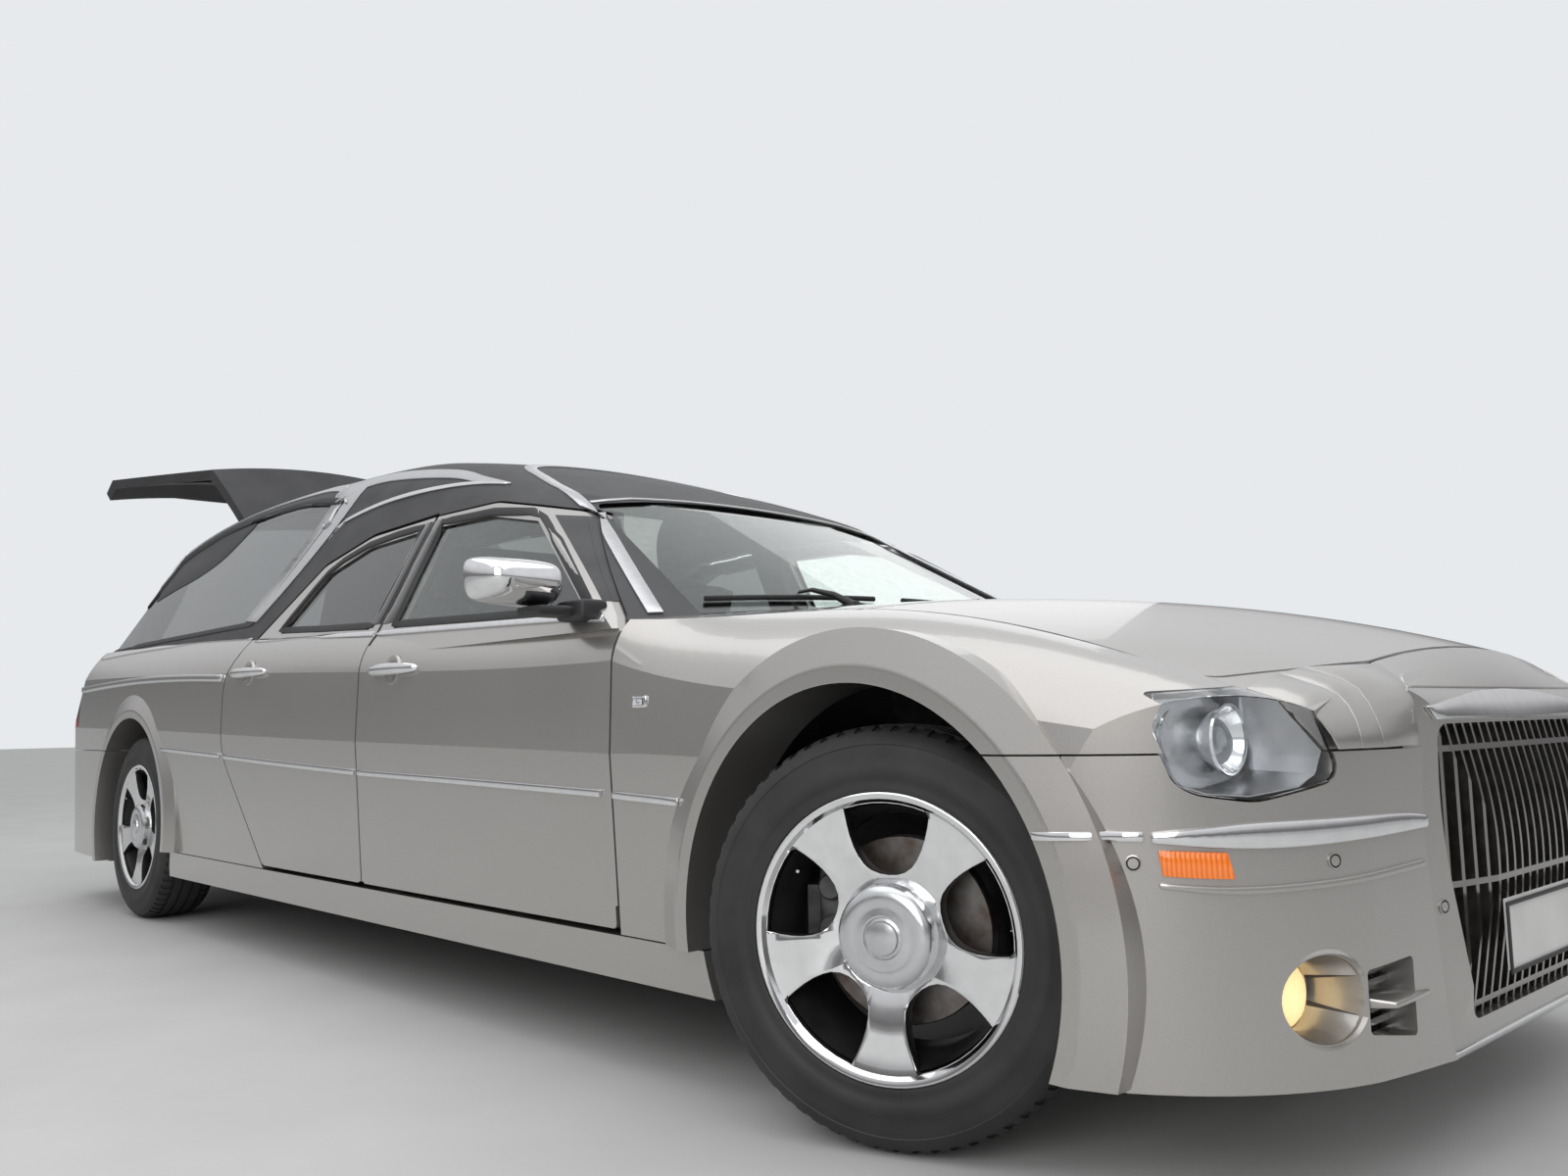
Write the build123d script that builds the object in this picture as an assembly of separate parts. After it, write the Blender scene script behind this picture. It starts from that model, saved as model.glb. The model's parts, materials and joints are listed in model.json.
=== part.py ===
from build123d import *
import math
import os

# Estate-bodied hearse. Millimetres, +X forward, +Y to the car's left, +Z up, ground at z = 0.
# Everything is laid out from the front axle (x = 0) and moved by front_axle_x when it is written.

# Overall layout
wheelbase = 3981.0
track = 1600.0
nose_x = 790.0
tail_x = -5160.0
front_axle_x = 2364.0

# Wheels and tyres
tyre_radius = 358.0
tyre_width = 225.0
bead_radius = 229.0
rim_radius = 244.0
rim_width = 214.0
hub_radius = 88.0
spoke_count = 5
tyre_gap = 0.3
disc_radius = 165.0
disc_thick = 28.0
steer_angle = 20.0
axle_z = tyre_radius

# Body shell
wall = 22.0
door_wall = 90.0
frame_wall = 34.0
glass_set_in = 7.0
glass_thick = 5.0
glass_gap = 0.3
shut_gap = 6.0
arch_radius = 430.0
flare_reach = 95.0
flare_side = 948.0
flare_inner = 800.0
sill_top = 285.0
sill_bottom = 200.0
body_bottom = 195.0
floor_top = 262.0
floor_thick = 42.0
lean = 0.52
foot_z = 930.0

# Shut lines, from the front axle
front_door_x = -700.0
centre_pillar_x = -1920.0
bonnet_half = 700.0
bumper_line_z = 668.0
rear_bumper_z = 655.0

# Windscreen, a slanted cylinder
screen_slope = 27.2
screen_offset = 620.0
screen_radius = 3600.0

# Rear window slope and lower rear panel, two more cylinders
rear_slope_top = (-4530.0, 1640.0)
rear_slope_foot = (-5060.0, 930.0)
rear_radius = 2800.0

# Tailgate
gate_hinge_x = -4180.0
gate_hinge_z = 1680.0
gate_open = 60.0
gate_wall = 45.0


def arc_corner(before, here, after):
    """Start, middle and end of the arc that rounds one corner (u, v, radius)."""
    corner = Vector(here[0], here[1])
    to_before = (Vector(before[0], before[1]) - corner).normalized()
    to_after = (Vector(after[0], after[1]) - corner).normalized()
    half = math.radians(to_before.get_angle(to_after)) / 2
    reach = here[2] / math.tan(half)
    bisector = (to_before + to_after).normalized()
    start = corner + to_before * reach
    end = corner + to_after * reach
    middle = corner + bisector * (here[2] / math.sin(half) - here[2])
    return start, middle, end


def flat_outline(corners):
    """Closed face in the XY plane from (u, v) or (u, v, radius) corners."""
    table = [(c[0], c[1], c[2] if len(c) > 2 else 0.0) for c in corners]
    edges = []
    ends = []
    for i, here in enumerate(table):
        if here[2] > 0:
            start, middle, end = arc_corner(table[i - 1], here, table[(i + 1) % len(table)])
            edges.append(ThreePointArc(start, middle, end))
        else:
            start = end = Vector(here[0], here[1])
        ends.append((start, end))
    for i, (start, end) in enumerate(ends):
        following = ends[(i + 1) % len(ends)][0]
        if (following - end).length > 0.01:
            edges.append(Line(end, following))
    return make_face(edges)


def side_prism(corners, y_low, y_high, grow=0.0):
    """Outline in side view (x, z), extruded from y_low to y_high."""
    face = flat_outline(corners)
    if grow:
        face = offset(face, amount=grow, kind=Kind.INTERSECTION)
    upright = Plane(origin=(0, y_high, 0), x_dir=(1, 0, 0), z_dir=(0, -1, 0))
    return extrude(upright * face, amount=y_high - y_low)


def plan_prism(corners, z_low, z_high, grow=0.0):
    """Outline in plan (x, y), extruded from z_low to z_high."""
    face = flat_outline(corners)
    if grow:
        face = offset(face, amount=grow, kind=Kind.INTERSECTION)
    return extrude(Pos(0, 0, z_low) * face, amount=z_high - z_low)


def front_prism(corners, x_low, x_high, grow=0.0):
    """Outline seen from the front (y, z), extruded from x_low to x_high."""
    face = flat_outline(corners)
    if grow:
        face = offset(face, amount=grow, kind=Kind.INTERSECTION)
    upright = Plane(origin=(x_low, 0, 0), x_dir=(0, 1, 0), z_dir=(1, 0, 0))
    return extrude(upright * face, amount=x_high - x_low)


def block(x_low, x_high, y_low, y_high, z_low, z_high):
    """Plain box between two corners."""
    middle = Pos((x_low + x_high) / 2, (y_low + y_high) / 2, (z_low + z_high) / 2)
    return middle * Box(x_high - x_low, y_high - y_low, z_high - z_low)


def rod(start, end, radius):
    """Round bar between two points."""
    start = Vector(*start)
    along = Vector(*end) - start
    return extrude(Plane(origin=start, z_dir=along) * Circle(radius), amount=along.length)


def other_side(shape):
    """The same piece on the car's right."""
    return mirror(shape, about=Plane.XZ)


# Body sections
# Each row of the lower body: x, half width at the sill, crease (y, z), hip (y, z),
# belt (y, z), height of the crown above the belt, and how far the hip arc bulges.
front_sections = [
    (810.0, 880.0, 880.0, 590.0, 860.0, 640.0, 670.0, 690.0, 100.0, 26.0),
    (560.0, 895.0, 915.0, 640.0, 900.0, 690.0, 695.0, 772.0, 100.0, 36.0),
    (250.0, 903.0, 930.0, 650.0, 922.0, 735.0, 706.0, 868.0, 72.0, 42.0),
    (-200.0, 905.0, 935.0, 652.0, 928.0, 778.0, 730.0, 938.0, 52.0, 34.0),
    (-700.0, 905.0, 936.0, 663.0, 930.0, 860.0, 886.0, 950.0, 46.0, 8.0),
]
rear_sections = [
    (-700.0, 905.0, 936.0, 663.0, 930.0, 860.0, 886.0, 950.0, 46.0, 8.0),
    (-1900.0, 908.0, 940.0, 690.0, 932.0, 885.0, 888.0, 985.0, 46.0, 8.0),
    (-3000.0, 908.0, 940.0, 718.0, 932.0, 925.0, 874.0, 1040.0, 46.0, 8.0),
    (-3900.0, 903.0, 936.0, 740.0, 928.0, 950.0, 858.0, 1070.0, 46.0, 8.0),
    (-4600.0, 888.0, 916.0, 752.0, 906.0, 965.0, 836.0, 1088.0, 46.0, 8.0),
    (-5250.0, 850.0, 872.0, 765.0, 862.0, 975.0, 796.0, 1092.0, 46.0, 8.0),
]
# Each row of the glasshouse: x, half width at foot_z, rail z, shoulder (y, z), crown z
roof_sections = [
    (-450.0, 916.0, 1300.0, 570.0, 1365.0, 1392.0),
    (-1400.0, 916.0, 1300.0, 570.0, 1365.0, 1392.0),
    (-2000.0, 916.0, 1420.0, 500.0, 1552.0, 1582.0),
    (-3000.0, 914.0, 1530.0, 470.0, 1645.0, 1683.0),
    (-3800.0, 905.0, 1545.0, 470.0, 1655.0, 1697.0),
    (-4500.0, 890.0, 1490.0, 470.0, 1600.0, 1640.0),
    (-5300.0, 840.0, 1400.0, 470.0, 1500.0, 1545.0),
]


def lower_section(row, inset):
    """One closed cross-section of the lower body."""
    x, y_sill, y_crease, z_crease, y_hip, z_hip, y_belt, z_belt, crown, bulge = row
    low = Vector(x, y_sill - inset, body_bottom + inset)
    crease = Vector(x, y_crease - inset, z_crease)
    hip = Vector(x, y_hip - inset, z_hip - inset * 0.3)
    belt = Vector(x, y_belt - inset * 0.8, z_belt - inset * 0.8)
    across = (belt - hip).normalized()
    out = Vector(0, across.Z, -across.Y)
    bend = (hip + belt) * 0.5 + out * bulge
    top = Vector(x, 0, z_belt + crown - inset)
    right = [Vector(p.X, -p.Y, p.Z) for p in (low, crease, hip, bend, belt)]
    edges = [
        Line(right[0], low),
        Line(low, crease),
        Line(crease, hip),
        ThreePointArc(hip, bend, belt),
        ThreePointArc(belt, top, right[4]),
        ThreePointArc(right[4], right[3], right[2]),
        Line(right[2], right[1]),
        Line(right[1], right[0]),
    ]
    return make_face(edges)


def roof_section(row, inset):
    """One closed cross-section of the glasshouse."""
    x, y_foot, z_rail, y_shoulder, z_shoulder, z_crown = row
    foot = Vector(x, y_foot - inset, foot_z)
    rail = Vector(x, y_foot - lean * (z_rail - foot_z) - inset, z_rail - inset * 0.3)
    shoulder = Vector(x, y_shoulder - inset * 0.5, z_shoulder - inset)
    across = (shoulder - rail).normalized()
    out = Vector(0, across.Z, -across.Y)
    bend = (rail + shoulder) * 0.5 + out * (shoulder - rail).length * 0.12
    top = Vector(x, 0, z_crown - inset)
    right = [Vector(p.X, -p.Y, p.Z) for p in (foot, rail, bend, shoulder)]
    edges = [
        Line(right[0], foot),
        Line(foot, rail),
        ThreePointArc(rail, bend, shoulder),
        ThreePointArc(shoulder, top, right[3]),
        ThreePointArc(right[3], right[2], right[1]),
        Line(right[1], right[0]),
    ]
    return make_face(edges)


def slanted_cylinder(point, along, radius, length):
    """Cylinder of the given radius whose skin passes through point, centred below the skin."""
    direction = Vector(*along).normalized()
    inward = direction.cross(Vector(0, 1, 0))
    centre = Vector(*point) + inward * radius
    start = centre - direction * (length / 2)
    return extrude(Plane(origin=start, z_dir=direction) * Circle(radius), amount=length)


def screen_cut(inset):
    """Everything behind the windscreen's outer face."""
    slope = math.radians(screen_slope)
    up = (-math.cos(slope), 0, math.sin(slope))
    normal = Vector(math.sin(slope), 0, math.cos(slope))
    skin = normal * (screen_offset - inset)
    cylinder = slanted_cylinder((skin.X, 0, skin.Z), up, screen_radius - inset, 16000.0)
    return cylinder


def rear_cut(inset):
    """Everything ahead of the rear window slope and of the upright lower rear panel."""
    run = rear_slope_foot[0] - rear_slope_top[0]
    drop = rear_slope_foot[1] - rear_slope_top[1]
    length = math.hypot(run, drop)
    normal = (drop / length, -run / length)
    point = (rear_slope_top[0] - normal[0] * inset, 0, rear_slope_top[1] - normal[1] * inset)
    slope = slanted_cylinder(point, (run / length, 0, drop / length), rear_radius - inset, 16000.0)
    upright = Pos(tail_x + rear_radius, 0, -1000) * Cylinder(
        rear_radius - inset, 4000, align=(Align.CENTER, Align.CENTER, Align.MIN))
    ahead = block(-4000, 1500, -1300, 1300, -100, 2300)
    return (slope & upright) + ahead


def plan_outline(inset):
    """Plan of the lower body, with the bowed nose and the rounded corners."""
    nose = nose_x - inset
    edges = [
        ThreePointArc((nose - 60, 600 - inset), (nose, 0), (nose - 60, -600 + inset)),
        ThreePointArc((nose - 60, -600 + inset), (nose - 165, -795 + inset), (nose - 420, -945 + inset)),
        Line((nose - 420, -945 + inset), (-4700, -945 + inset)),
        ThreePointArc((-4700, -945 + inset), (-5010, -872 + inset), (-5140 + inset, -690 + inset)),
        Line((-5140 + inset, -690 + inset), (-5140 + inset, 690 - inset)),
        ThreePointArc((-5140 + inset, 690 - inset), (-5010, 872 - inset), (-4700, 945 - inset)),
        Line((-4700, 945 - inset), (nose - 420, 945 - inset)),
        ThreePointArc((nose - 420, 945 - inset), (nose - 165, 795 - inset), (nose - 60, 600 - inset)),
    ]
    return extrude(make_face(edges), amount=2200)


def lower_body(inset):
    """Solid lower body, in by inset on every face."""
    front = loft([lower_section(row, inset) for row in front_sections])
    rear = loft([lower_section(row, inset) for row in rear_sections])
    whole = front + rear
    whole = whole & plan_outline(inset)
    return whole & rear_cut(inset)


def glasshouse(inset):
    """Solid upper body, in by inset on every face."""
    body = loft([roof_section(row, inset) for row in roof_sections])
    return body & screen_cut(inset) & rear_cut(inset)


def flare(axle_x):
    """Raised lip round one pair of wheel arches, left and right."""
    profile = flat_outline([
        (arch_radius - 6, flare_inner),
        (arch_radius - 6, flare_side, 8),
        (arch_radius + 30, flare_side + 2, 20),
        (arch_radius + flare_reach, 928.0),
        (arch_radius + flare_reach, 880.0),
        (arch_radius + 25, flare_inner),
    ])
    ring = revolve(Plane(origin=(axle_x, 0, axle_z), x_dir=(1, 0, 0), z_dir=(0, 0, 1)) * profile,
                   axis=Axis((axle_x, 0, axle_z), (0, 1, 0)))
    keep = block(axle_x - 700, axle_x + 700, 0, 1000, sill_bottom, 1200)
    left = ring & keep
    return left


def arch_hole(axle_x, inner, radius=arch_radius):
    """Round hole for one wheel, left side."""
    return rod((axle_x, inner, axle_z), (axle_x, 1100, axle_z), radius)


lower_outer = lower_body(0.0)
lower_inner = lower_body(wall)
lower_deep = lower_body(gate_wall)
lower_skin = lower_outer - lower_inner
upper_outer = glasshouse(0.0)
upper_inner = glasshouse(frame_wall)

# Door outlines in side view
front_door_outline = [
    (front_door_x, sill_top + 5, 20), (front_door_x, 925.0, 10), (-752.0, 962.0),
    (-1262.0, 1288.0, 60), (-1560.0, 1345.0, 300), (centre_pillar_x, 1352.0),
    (centre_pillar_x, sill_top + 5, 20),
]
rear_door_outline = [
    (centre_pillar_x - shut_gap, sill_top + 5, 20), (centre_pillar_x - shut_gap, 1352.0),
    (-2330.0, 1340.0, 250), (-2610.0, 1270.0, 80), (-2880.0, 1035.0), (-2905.0, 985.0, 30),
    (-2985.0, 880.0, 120), (-2972.0, 640.0, 160), (-2640.0, sill_top + 5, 20),
]
front_window_outline = [
    (-838.0, 972.0, 8), (-1275.0, 1252.0, 50), (-1560.0, 1305.0, 300), (-1855.0, 1312.0, 12),
    (-1830.0, 1006.0, 8),
]
rear_window_outline = [
    (-1985.0, 1012.0, 8), (-1990.0, 1312.0, 12), (-2310.0, 1300.0, 200), (-2550.0, 1232.0, 60),
    (-2700.0, 1046.0, 8),
]
side_glass_outline = [
    (-3035.0, 1092.0, 6), (-2792.0, 1520.0, 6), (-3300.0, 1590.0, 900), (-4080.0, 1575.0, 900),
    (-4500.0, 1500.0, 20), (-4850.0, 1102.0, 15),
]


def on_car(shape):
    """A piece laid out from the front axle, moved to its place from the car's origin."""
    return Pos(front_axle_x, 0, 0) * shape


# Shared cutters
left_half = block(-6000, 1500, 0, 1300, -100, 2300)
shell_door = lower_outer & block(-3100, -600, 840, 1100, 0, 1200)
shell_frame = upper_outer - upper_inner
glass_skin = glasshouse(glass_set_in) - glasshouse(glass_set_in + glass_thick)
wide = 1100.0
front_arch = arch_hole(0.0, 560.0)
rear_arch = arch_hole(-wheelbase, 560.0)


def gate_zone(grow):
    """Space that the tailgate and its gap take, splayed in plan so that it lifts clear."""
    front = gate_hinge_x - shut_gap / 2 + grow
    low = rear_bumper_z + shut_gap - grow
    side = [(front, 430.0 + grow), (-4510.0, 505.0 + grow), (-5400.0, 745.0 + grow)]
    corners = side + [(x, -y) for x, y in reversed(side)]
    return plan_prism(corners, low, 2000.0)


door_step = 8.0
frame_split = block(centre_pillar_x - 1, centre_pillar_x + 12, 300, wide, foot_z + 30, 1500)


def door(outline_corners, window_corners):
    """One left door: a thick lower panel and a window frame, in one solid."""
    zone = side_prism(outline_corners, 0, wide)
    edge = side_prism(outline_corners, 0, 915) - side_prism(outline_corners, 0, 915, -door_step)
    panel = (shell_door & zone) - (edge & block(-3200, -600, 0, wide, 0, 900))
    frame = shell_frame & zone & block(-3200, -600, 300, wide, foot_z - 20, 1500)
    return panel + frame - side_prism(window_corners, 300, wide) - frame_split


def pane(window_corners):
    """Glass that fills one side window, held by its gap inside the frame."""
    return glass_skin & side_prism(window_corners, 300, wide, -glass_gap)


# Doors and their glass
front_door = door(front_door_outline, front_window_outline)
rear_door = door(rear_door_outline, rear_window_outline)
front_glass = pane(front_window_outline)
rear_glass = pane(rear_window_outline)

# Door mirror, a rounded shell on a foot
mirror_centre = (-905.0, 1035.0, 1043.0)
mirror_half = (58.0, 118.0, 56.0)


def door_mirror():
    """Left door mirror with the foot that meets the door's corner."""
    shape = Pos(*mirror_centre) * Box(
        mirror_half[0] * 2, mirror_half[1] * 2, mirror_half[2] * 2)
    shape = fillet(shape.edges().filter_by(Axis.X), 38)
    shape = fillet(shape.faces().sort_by(Axis.X)[-1].edges(), 34)
    foot = Pos(mirror_centre[0] + 40, 906, 975) * Box(110, 78, 34)
    arm = Pos(mirror_centre[0] + 20, 925, 992) * Box(60, 60, 40)
    whole = (shape + foot + arm) - shell_door - shell_frame
    return whole.solids().sort_by(SortBy.VOLUME)[-1]


# Roof with its pillars, header and rails
screen_outline = [
    (700.0, 950.0), (700.0, 968.0, 10), (548.0, 1322.0, 40), (0.0, 1402.0, 3500),
    (-548.0, 1322.0, 40), (-700.0, 968.0, 10), (-700.0, 950.0),
]
door_zone = side_prism(front_door_outline, 0, wide, shut_gap)
door_zone = door_zone + side_prism(rear_door_outline, 0, wide, shut_gap * 2)
screen_hole = front_prism(screen_outline, -1700, -200)
roof = shell_frame - lower_outer
roof = roof - door_zone - other_side(door_zone) - screen_hole
side_glass_hole = side_prism(side_glass_outline, 300, wide)
roof = roof - side_glass_hole - other_side(side_glass_hole) - gate_zone(shut_gap)
screen_skin = screen_cut(glass_set_in) - screen_cut(glass_set_in + glass_thick)
windscreen = glasshouse(glass_set_in) & screen_skin
windscreen = windscreen & front_prism(screen_outline, -1420, -200, -glass_gap) - lower_outer
windscreen = windscreen - door_zone - other_side(door_zone)
side_glass = pane(side_glass_outline) - lower_outer - gate_zone(shut_gap)

# Front wings
wing_zone = [
    (front_door_x + shut_gap, sill_top + 3), (front_door_x + shut_gap, 1200.0), (700.0, 1200.0),
    (700.0, bumper_line_z), (0.0, bumper_line_z), (-300.0, sill_top + 3),
]
bonnet_outline = [
    (-430.0, 0.0, 1600), (-640.0, bonnet_half), (540.0, bonnet_half, 60), (610.0, 560.0, 60),
    (668.0, 410.0, 60), (686.0, 0.0, 6000), (668.0, -410.0, 60),
    (610.0, -560.0, 60), (540.0, -bonnet_half, 60), (-640.0, -bonnet_half),
]
lamp_outline = [
    (868.0, 705.0, 40), (852.0, 757.0, 14), (700.0, 765.0, 22), (645.0, 628.0, 26),
    (770.0, 598.0, 70), (846.0, 612.0, 40),
]
lamp_depth = 120.0
lamp_lens_thick = 4.0
lamp_rim_thick = 6.0

body_ahead = lower_skin & block(-900, 900, 0, 1100, 0, 1300)
wing_shell = (body_ahead + flare(0.0)) - front_arch
bonnet_zone = plan_prism(bonnet_outline, 690, 1200)
bonnet_hole = plan_prism(bonnet_outline, 690, 1200, shut_gap)
lamp_hole = front_prism(lamp_outline, 420, 900)
lamp_body_space = front_prism(lamp_outline, 420, 900, -glass_gap)
wing = wing_shell & side_prism(wing_zone, 0, wide)
wing = wing & block(-900, 900, 520, wide, 0, 1300) - bonnet_hole - lamp_hole
bonnet = lower_skin & bonnet_zone & block(-900, 900, -wide, wide, 690, 1300)

# Headlamps: a clear cover and the bowl housing behind it
lamp_cover = (lower_outer - lower_body(lamp_lens_thick)) & lamp_body_space
lamp_rim = (lower_body(lamp_lens_thick + glass_gap) - lower_deep) & lamp_body_space
lamp_rim = lamp_rim - front_prism(lamp_outline, 420, 900, -lamp_rim_thick)
lamp_bowl = ((lower_deep - lower_body(lamp_depth)) & lamp_body_space) + lamp_rim

# Grille shell, its slats and the front bumper
shell_half = 462.0
shell_side = [
    (600.0, 815.0), (688.0, 815.0, 14), (745.0, 738.0, 60), (794.0, 500.0, 700),
    (742.0, 176.0, 30), (600.0, 176.0),
]
shell_front = [
    (0.0, 812.0, 2400), (425.0, 778.0, 60), (shell_half, 560.0, 500), (415.0, 174.0, 60),
    (-415.0, 174.0, 60), (-shell_half, 560.0, 500), (-425.0, 778.0, 60),
]
shell_opening = [
    (362.0, 700.0, 26), (372.0, 540.0, 700), (305.0, 232.0, 40),
    (-305.0, 232.0, 40), (-372.0, 540.0, 700), (-362.0, 700.0, 26),
]
shell_bow = 1500.0
slat_count = 19
slat_thick = 9.0


def shell_form(inset):
    """The bulging form of the grille shell, in by inset from its front."""
    side = side_prism(shell_side, -shell_half, shell_half)
    bow = Pos(nose_x + 4 - shell_bow, 0, 0) * Cylinder(
        shell_bow, 2400, align=(Align.CENTER, Align.CENTER, Align.MIN))
    return Pos(-inset, 0, 0) * (side & bow)


shell_solid = shell_form(0.0) & front_prism(shell_front, 500, 900)
shell_hole = front_prism(shell_opening, 500, 900)
slat_box = shell_form(14.0) - shell_form(44.0)
shell_top_gap = plan_prism(bonnet_outline, 690, 1200, shut_gap + 3)
grille_shell = shell_solid - shell_hole - shell_form(90.0) - shell_top_gap
slat_pitch = 2 * 372.0 / (slat_count + 1)
slats = slat_box & front_prism(shell_opening, 500, 900, -glass_gap)
bars = block(500, 900, -slat_thick / 2, slat_thick / 2, 220, 720)

bar_set = [Pos(0, slat_pitch * (i - (slat_count - 1) / 2), 0) * bars for i in range(slat_count)]
cross_bars = [block(500, 900, -400, 400, z, z + 10) for z in (245.0, 440.0, 655.0)]
grille_slats = slats & (bar_set[0] + bar_set[1:] + cross_bars)

fog_centre = (690.0, 690.0, 318.0)
fog_radius = 47.0
fog_recess = 78.0
bumper_zone = [
    (272.0, 150.0), (272.0, 245.0), (250.0, 245.0), (250.0, bumper_line_z - 3),
    (900.0, bumper_line_z - 3), (900.0, 150.0),
]
front_bumper = wing_shell + other_side(wing_shell)
front_bumper = front_bumper & side_prism(bumper_zone, -wide, wide)
shell_space = front_prism(shell_front, 500, 900, glass_gap)
front_bumper = front_bumper - shell_space
lamp_gap_hole = front_prism(lamp_outline, 420, 900, 3.0)
front_bumper = front_bumper - lamp_gap_hole - other_side(lamp_gap_hole)
fog_hole = rod((fog_centre[0] - fog_recess, fog_centre[1], fog_centre[2]), (900, fog_centre[1], fog_centre[2]), 62.0)
vent_hole = front_prism([
    (620.0, 352.0, 8), (512.0, 362.0, 8), (512.0, 246.0, 8), (620.0, 262.0, 8)], 612, 900)
fog_lamp = rod((fog_centre[0] - fog_recess + glass_gap, fog_centre[1], fog_centre[2]),
               (fog_centre[0] - fog_recess + 24, fog_centre[1], fog_centre[2]), fog_radius)
fog_back = block(585, 900, 500, 790, 225, 410) & lower_inner
fog_back = fog_back - fog_hole - vent_hole
front_bumper = front_bumper - fog_hole - other_side(fog_hole) - vent_hole - other_side(vent_hole)
front_bumper = front_bumper + fog_back + other_side(fog_back)

# Rear wings, tail lamps and rear bumper
quarter_zone = [
    (-2646.0, sill_top + 3), (-2979.0, 642.0, 160), (-2991.0, 882.0, 120), (-2911.0, 990.0, 30),
    (-2886.0, 1038.0), (-2905.0, 1200.0), (-5300.0, 1200.0), (-5300.0, rear_bumper_z + 3),
    (-4200.0, rear_bumper_z + 3), (-4200.0, sill_top + 3),
]
rear_bumper_zone = [
    (-4203.0, 150.0), (-4203.0, rear_bumper_z), (-5400.0, rear_bumper_z), (-5400.0, 150.0),
]
tail_lamp_outline = [
    (905.0, 985.0, 20), (735.0, 1005.0, 14), (735.0, 742.0, 14), (905.0, 760.0, 20),
]
belt_reach = 200.0
rear_shell = (lower_skin & left_half & block(-5400, -2500, 0, 1100, 0, 1200)) + flare(-wheelbase)
rear_shell = rear_shell - rear_arch
tail_lamp_hole = front_prism(tail_lamp_outline, -5400, -4905)
quarter = rear_shell & side_prism(quarter_zone, 0, wide)
belt_keep = block(-5400, -2500, 880 - belt_reach, wide, 0, 1300)
quarter = (quarter & belt_keep) - gate_zone(shut_gap) - tail_lamp_hole
quarter = quarter + block(-3000, -2980, 919, 929, 750, 770)
tail_lamp = rear_shell & side_prism(quarter_zone, 0, wide) & belt_keep
tail_lamp = tail_lamp - gate_zone(shut_gap)
tail_lamp = tail_lamp & front_prism(tail_lamp_outline, -5400, -4905 - glass_gap, -glass_gap)
rear_bumper = (rear_shell + other_side(rear_shell)) & side_prism(rear_bumper_zone, -wide, wide)
rear_bumper = rear_bumper - block(-4970, -4100, -800, 800, 150, 400)

# Tailgate, built closed and swung up about its hinge
rear_space = block(-5400, -4000, -wide, wide, 0, 2300)
gate_outer = (lower_outer & rear_space) + (upper_outer & rear_space)
gate_inner = (lower_deep & rear_space) + (glasshouse(gate_wall) & rear_space)
gate_window = [
    (455.0, 1500.0, 70), (535.0, 1075.0, 90), (-535.0, 1075.0, 90), (-455.0, 1500.0, 70),
]
gate_space = gate_zone(0.0)
gate_window_hole = front_prism(gate_window, -5400, -4560)
gate_closed = ((gate_outer - gate_inner) & gate_space) - gate_window_hole
gate_glass_closed = (gate_outer & glass_skin) & front_prism(
    gate_window, -5400, -4560 - glass_gap, -glass_gap)
knuckle_radius = 8.0


def gate_knuckle(y_start, y_end, reach):
    """One short barrel on the tailgate's hinge line, with the leg that carries it."""
    barrel = rod((gate_hinge_x, y_start, gate_hinge_z), (gate_hinge_x, y_end, gate_hinge_z),
                 knuckle_radius)
    legs = (gate_hinge_x + reach * 0.05, gate_hinge_x + reach)
    leg = block(min(legs), max(legs), min(y_start, y_end), max(y_start, y_end),
                gate_hinge_z - 46, gate_hinge_z)
    return barrel + leg


gate_swing = Pos(gate_hinge_x, 0, gate_hinge_z) * Rot(0, gate_open, 0) * Pos(
    -gate_hinge_x, 0, -gate_hinge_z)
for side in (-1, 1):
    roof += gate_knuckle(side * 300, side * 340, 20)
    gate_closed += gate_knuckle(side * 340.5, side * 380, -20)
tailgate = gate_swing * gate_closed
tailgate_glass = gate_swing * gate_glass_closed

# Cowl at the foot of the windscreen, and the bulkhead under it
cowl_outline = [
    (-430.0 - shut_gap, 0.0, 1600), (-646.0, bonnet_half + 50), (-790.0, bonnet_half + 50),
    (-790.0, -bonnet_half - 50), (-646.0, -bonnet_half - 50),
]
cowl = lower_skin & plan_prism(cowl_outline, 800, 1200) - bonnet_zone - bonnet_hole
cowl = cowl - upper_outer - wing - other_side(wing)
bulkhead = block(-700, -660, -790, 790, floor_top + glass_gap, 900)

# Sills, floor and what hangs under it
sill_inner = 800.0
sill_zone = [
    (-372.0, sill_top), (-372.0, 150.0), (-3570.0, 150.0), (-3570.0, sill_top),
]
sill = lower_outer & side_prism(sill_zone, sill_inner, wide)
sill = sill - front_arch - rear_arch
floor = block(-4960, -640, -sill_inner + glass_gap, sill_inner - glass_gap,
              floor_top - floor_thick, floor_top)
well = arch_radius + wall
well_inner = 560.0
hump_half = 190.0
hump_side = 545.0
hump_top = 500.0
floor = floor - block(-wheelbase - hump_half, -wheelbase + hump_half, -hump_side, hump_side, 0, 400)
hump = block(-wheelbase - hump_half - wall, -wheelbase + hump_half + wall, -hump_side - 12,
             hump_side + 12, floor_top - 20, hump_top)
hump = hump - block(-wheelbase - hump_half, -wheelbase + hump_half, -hump_side, hump_side,
                    0, hump_top - wall)
floor = floor + hump - block(-wheelbase - 100, -wheelbase + 100, -700, 700, floor_top + 1, 420)
wheel_houses = []
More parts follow.
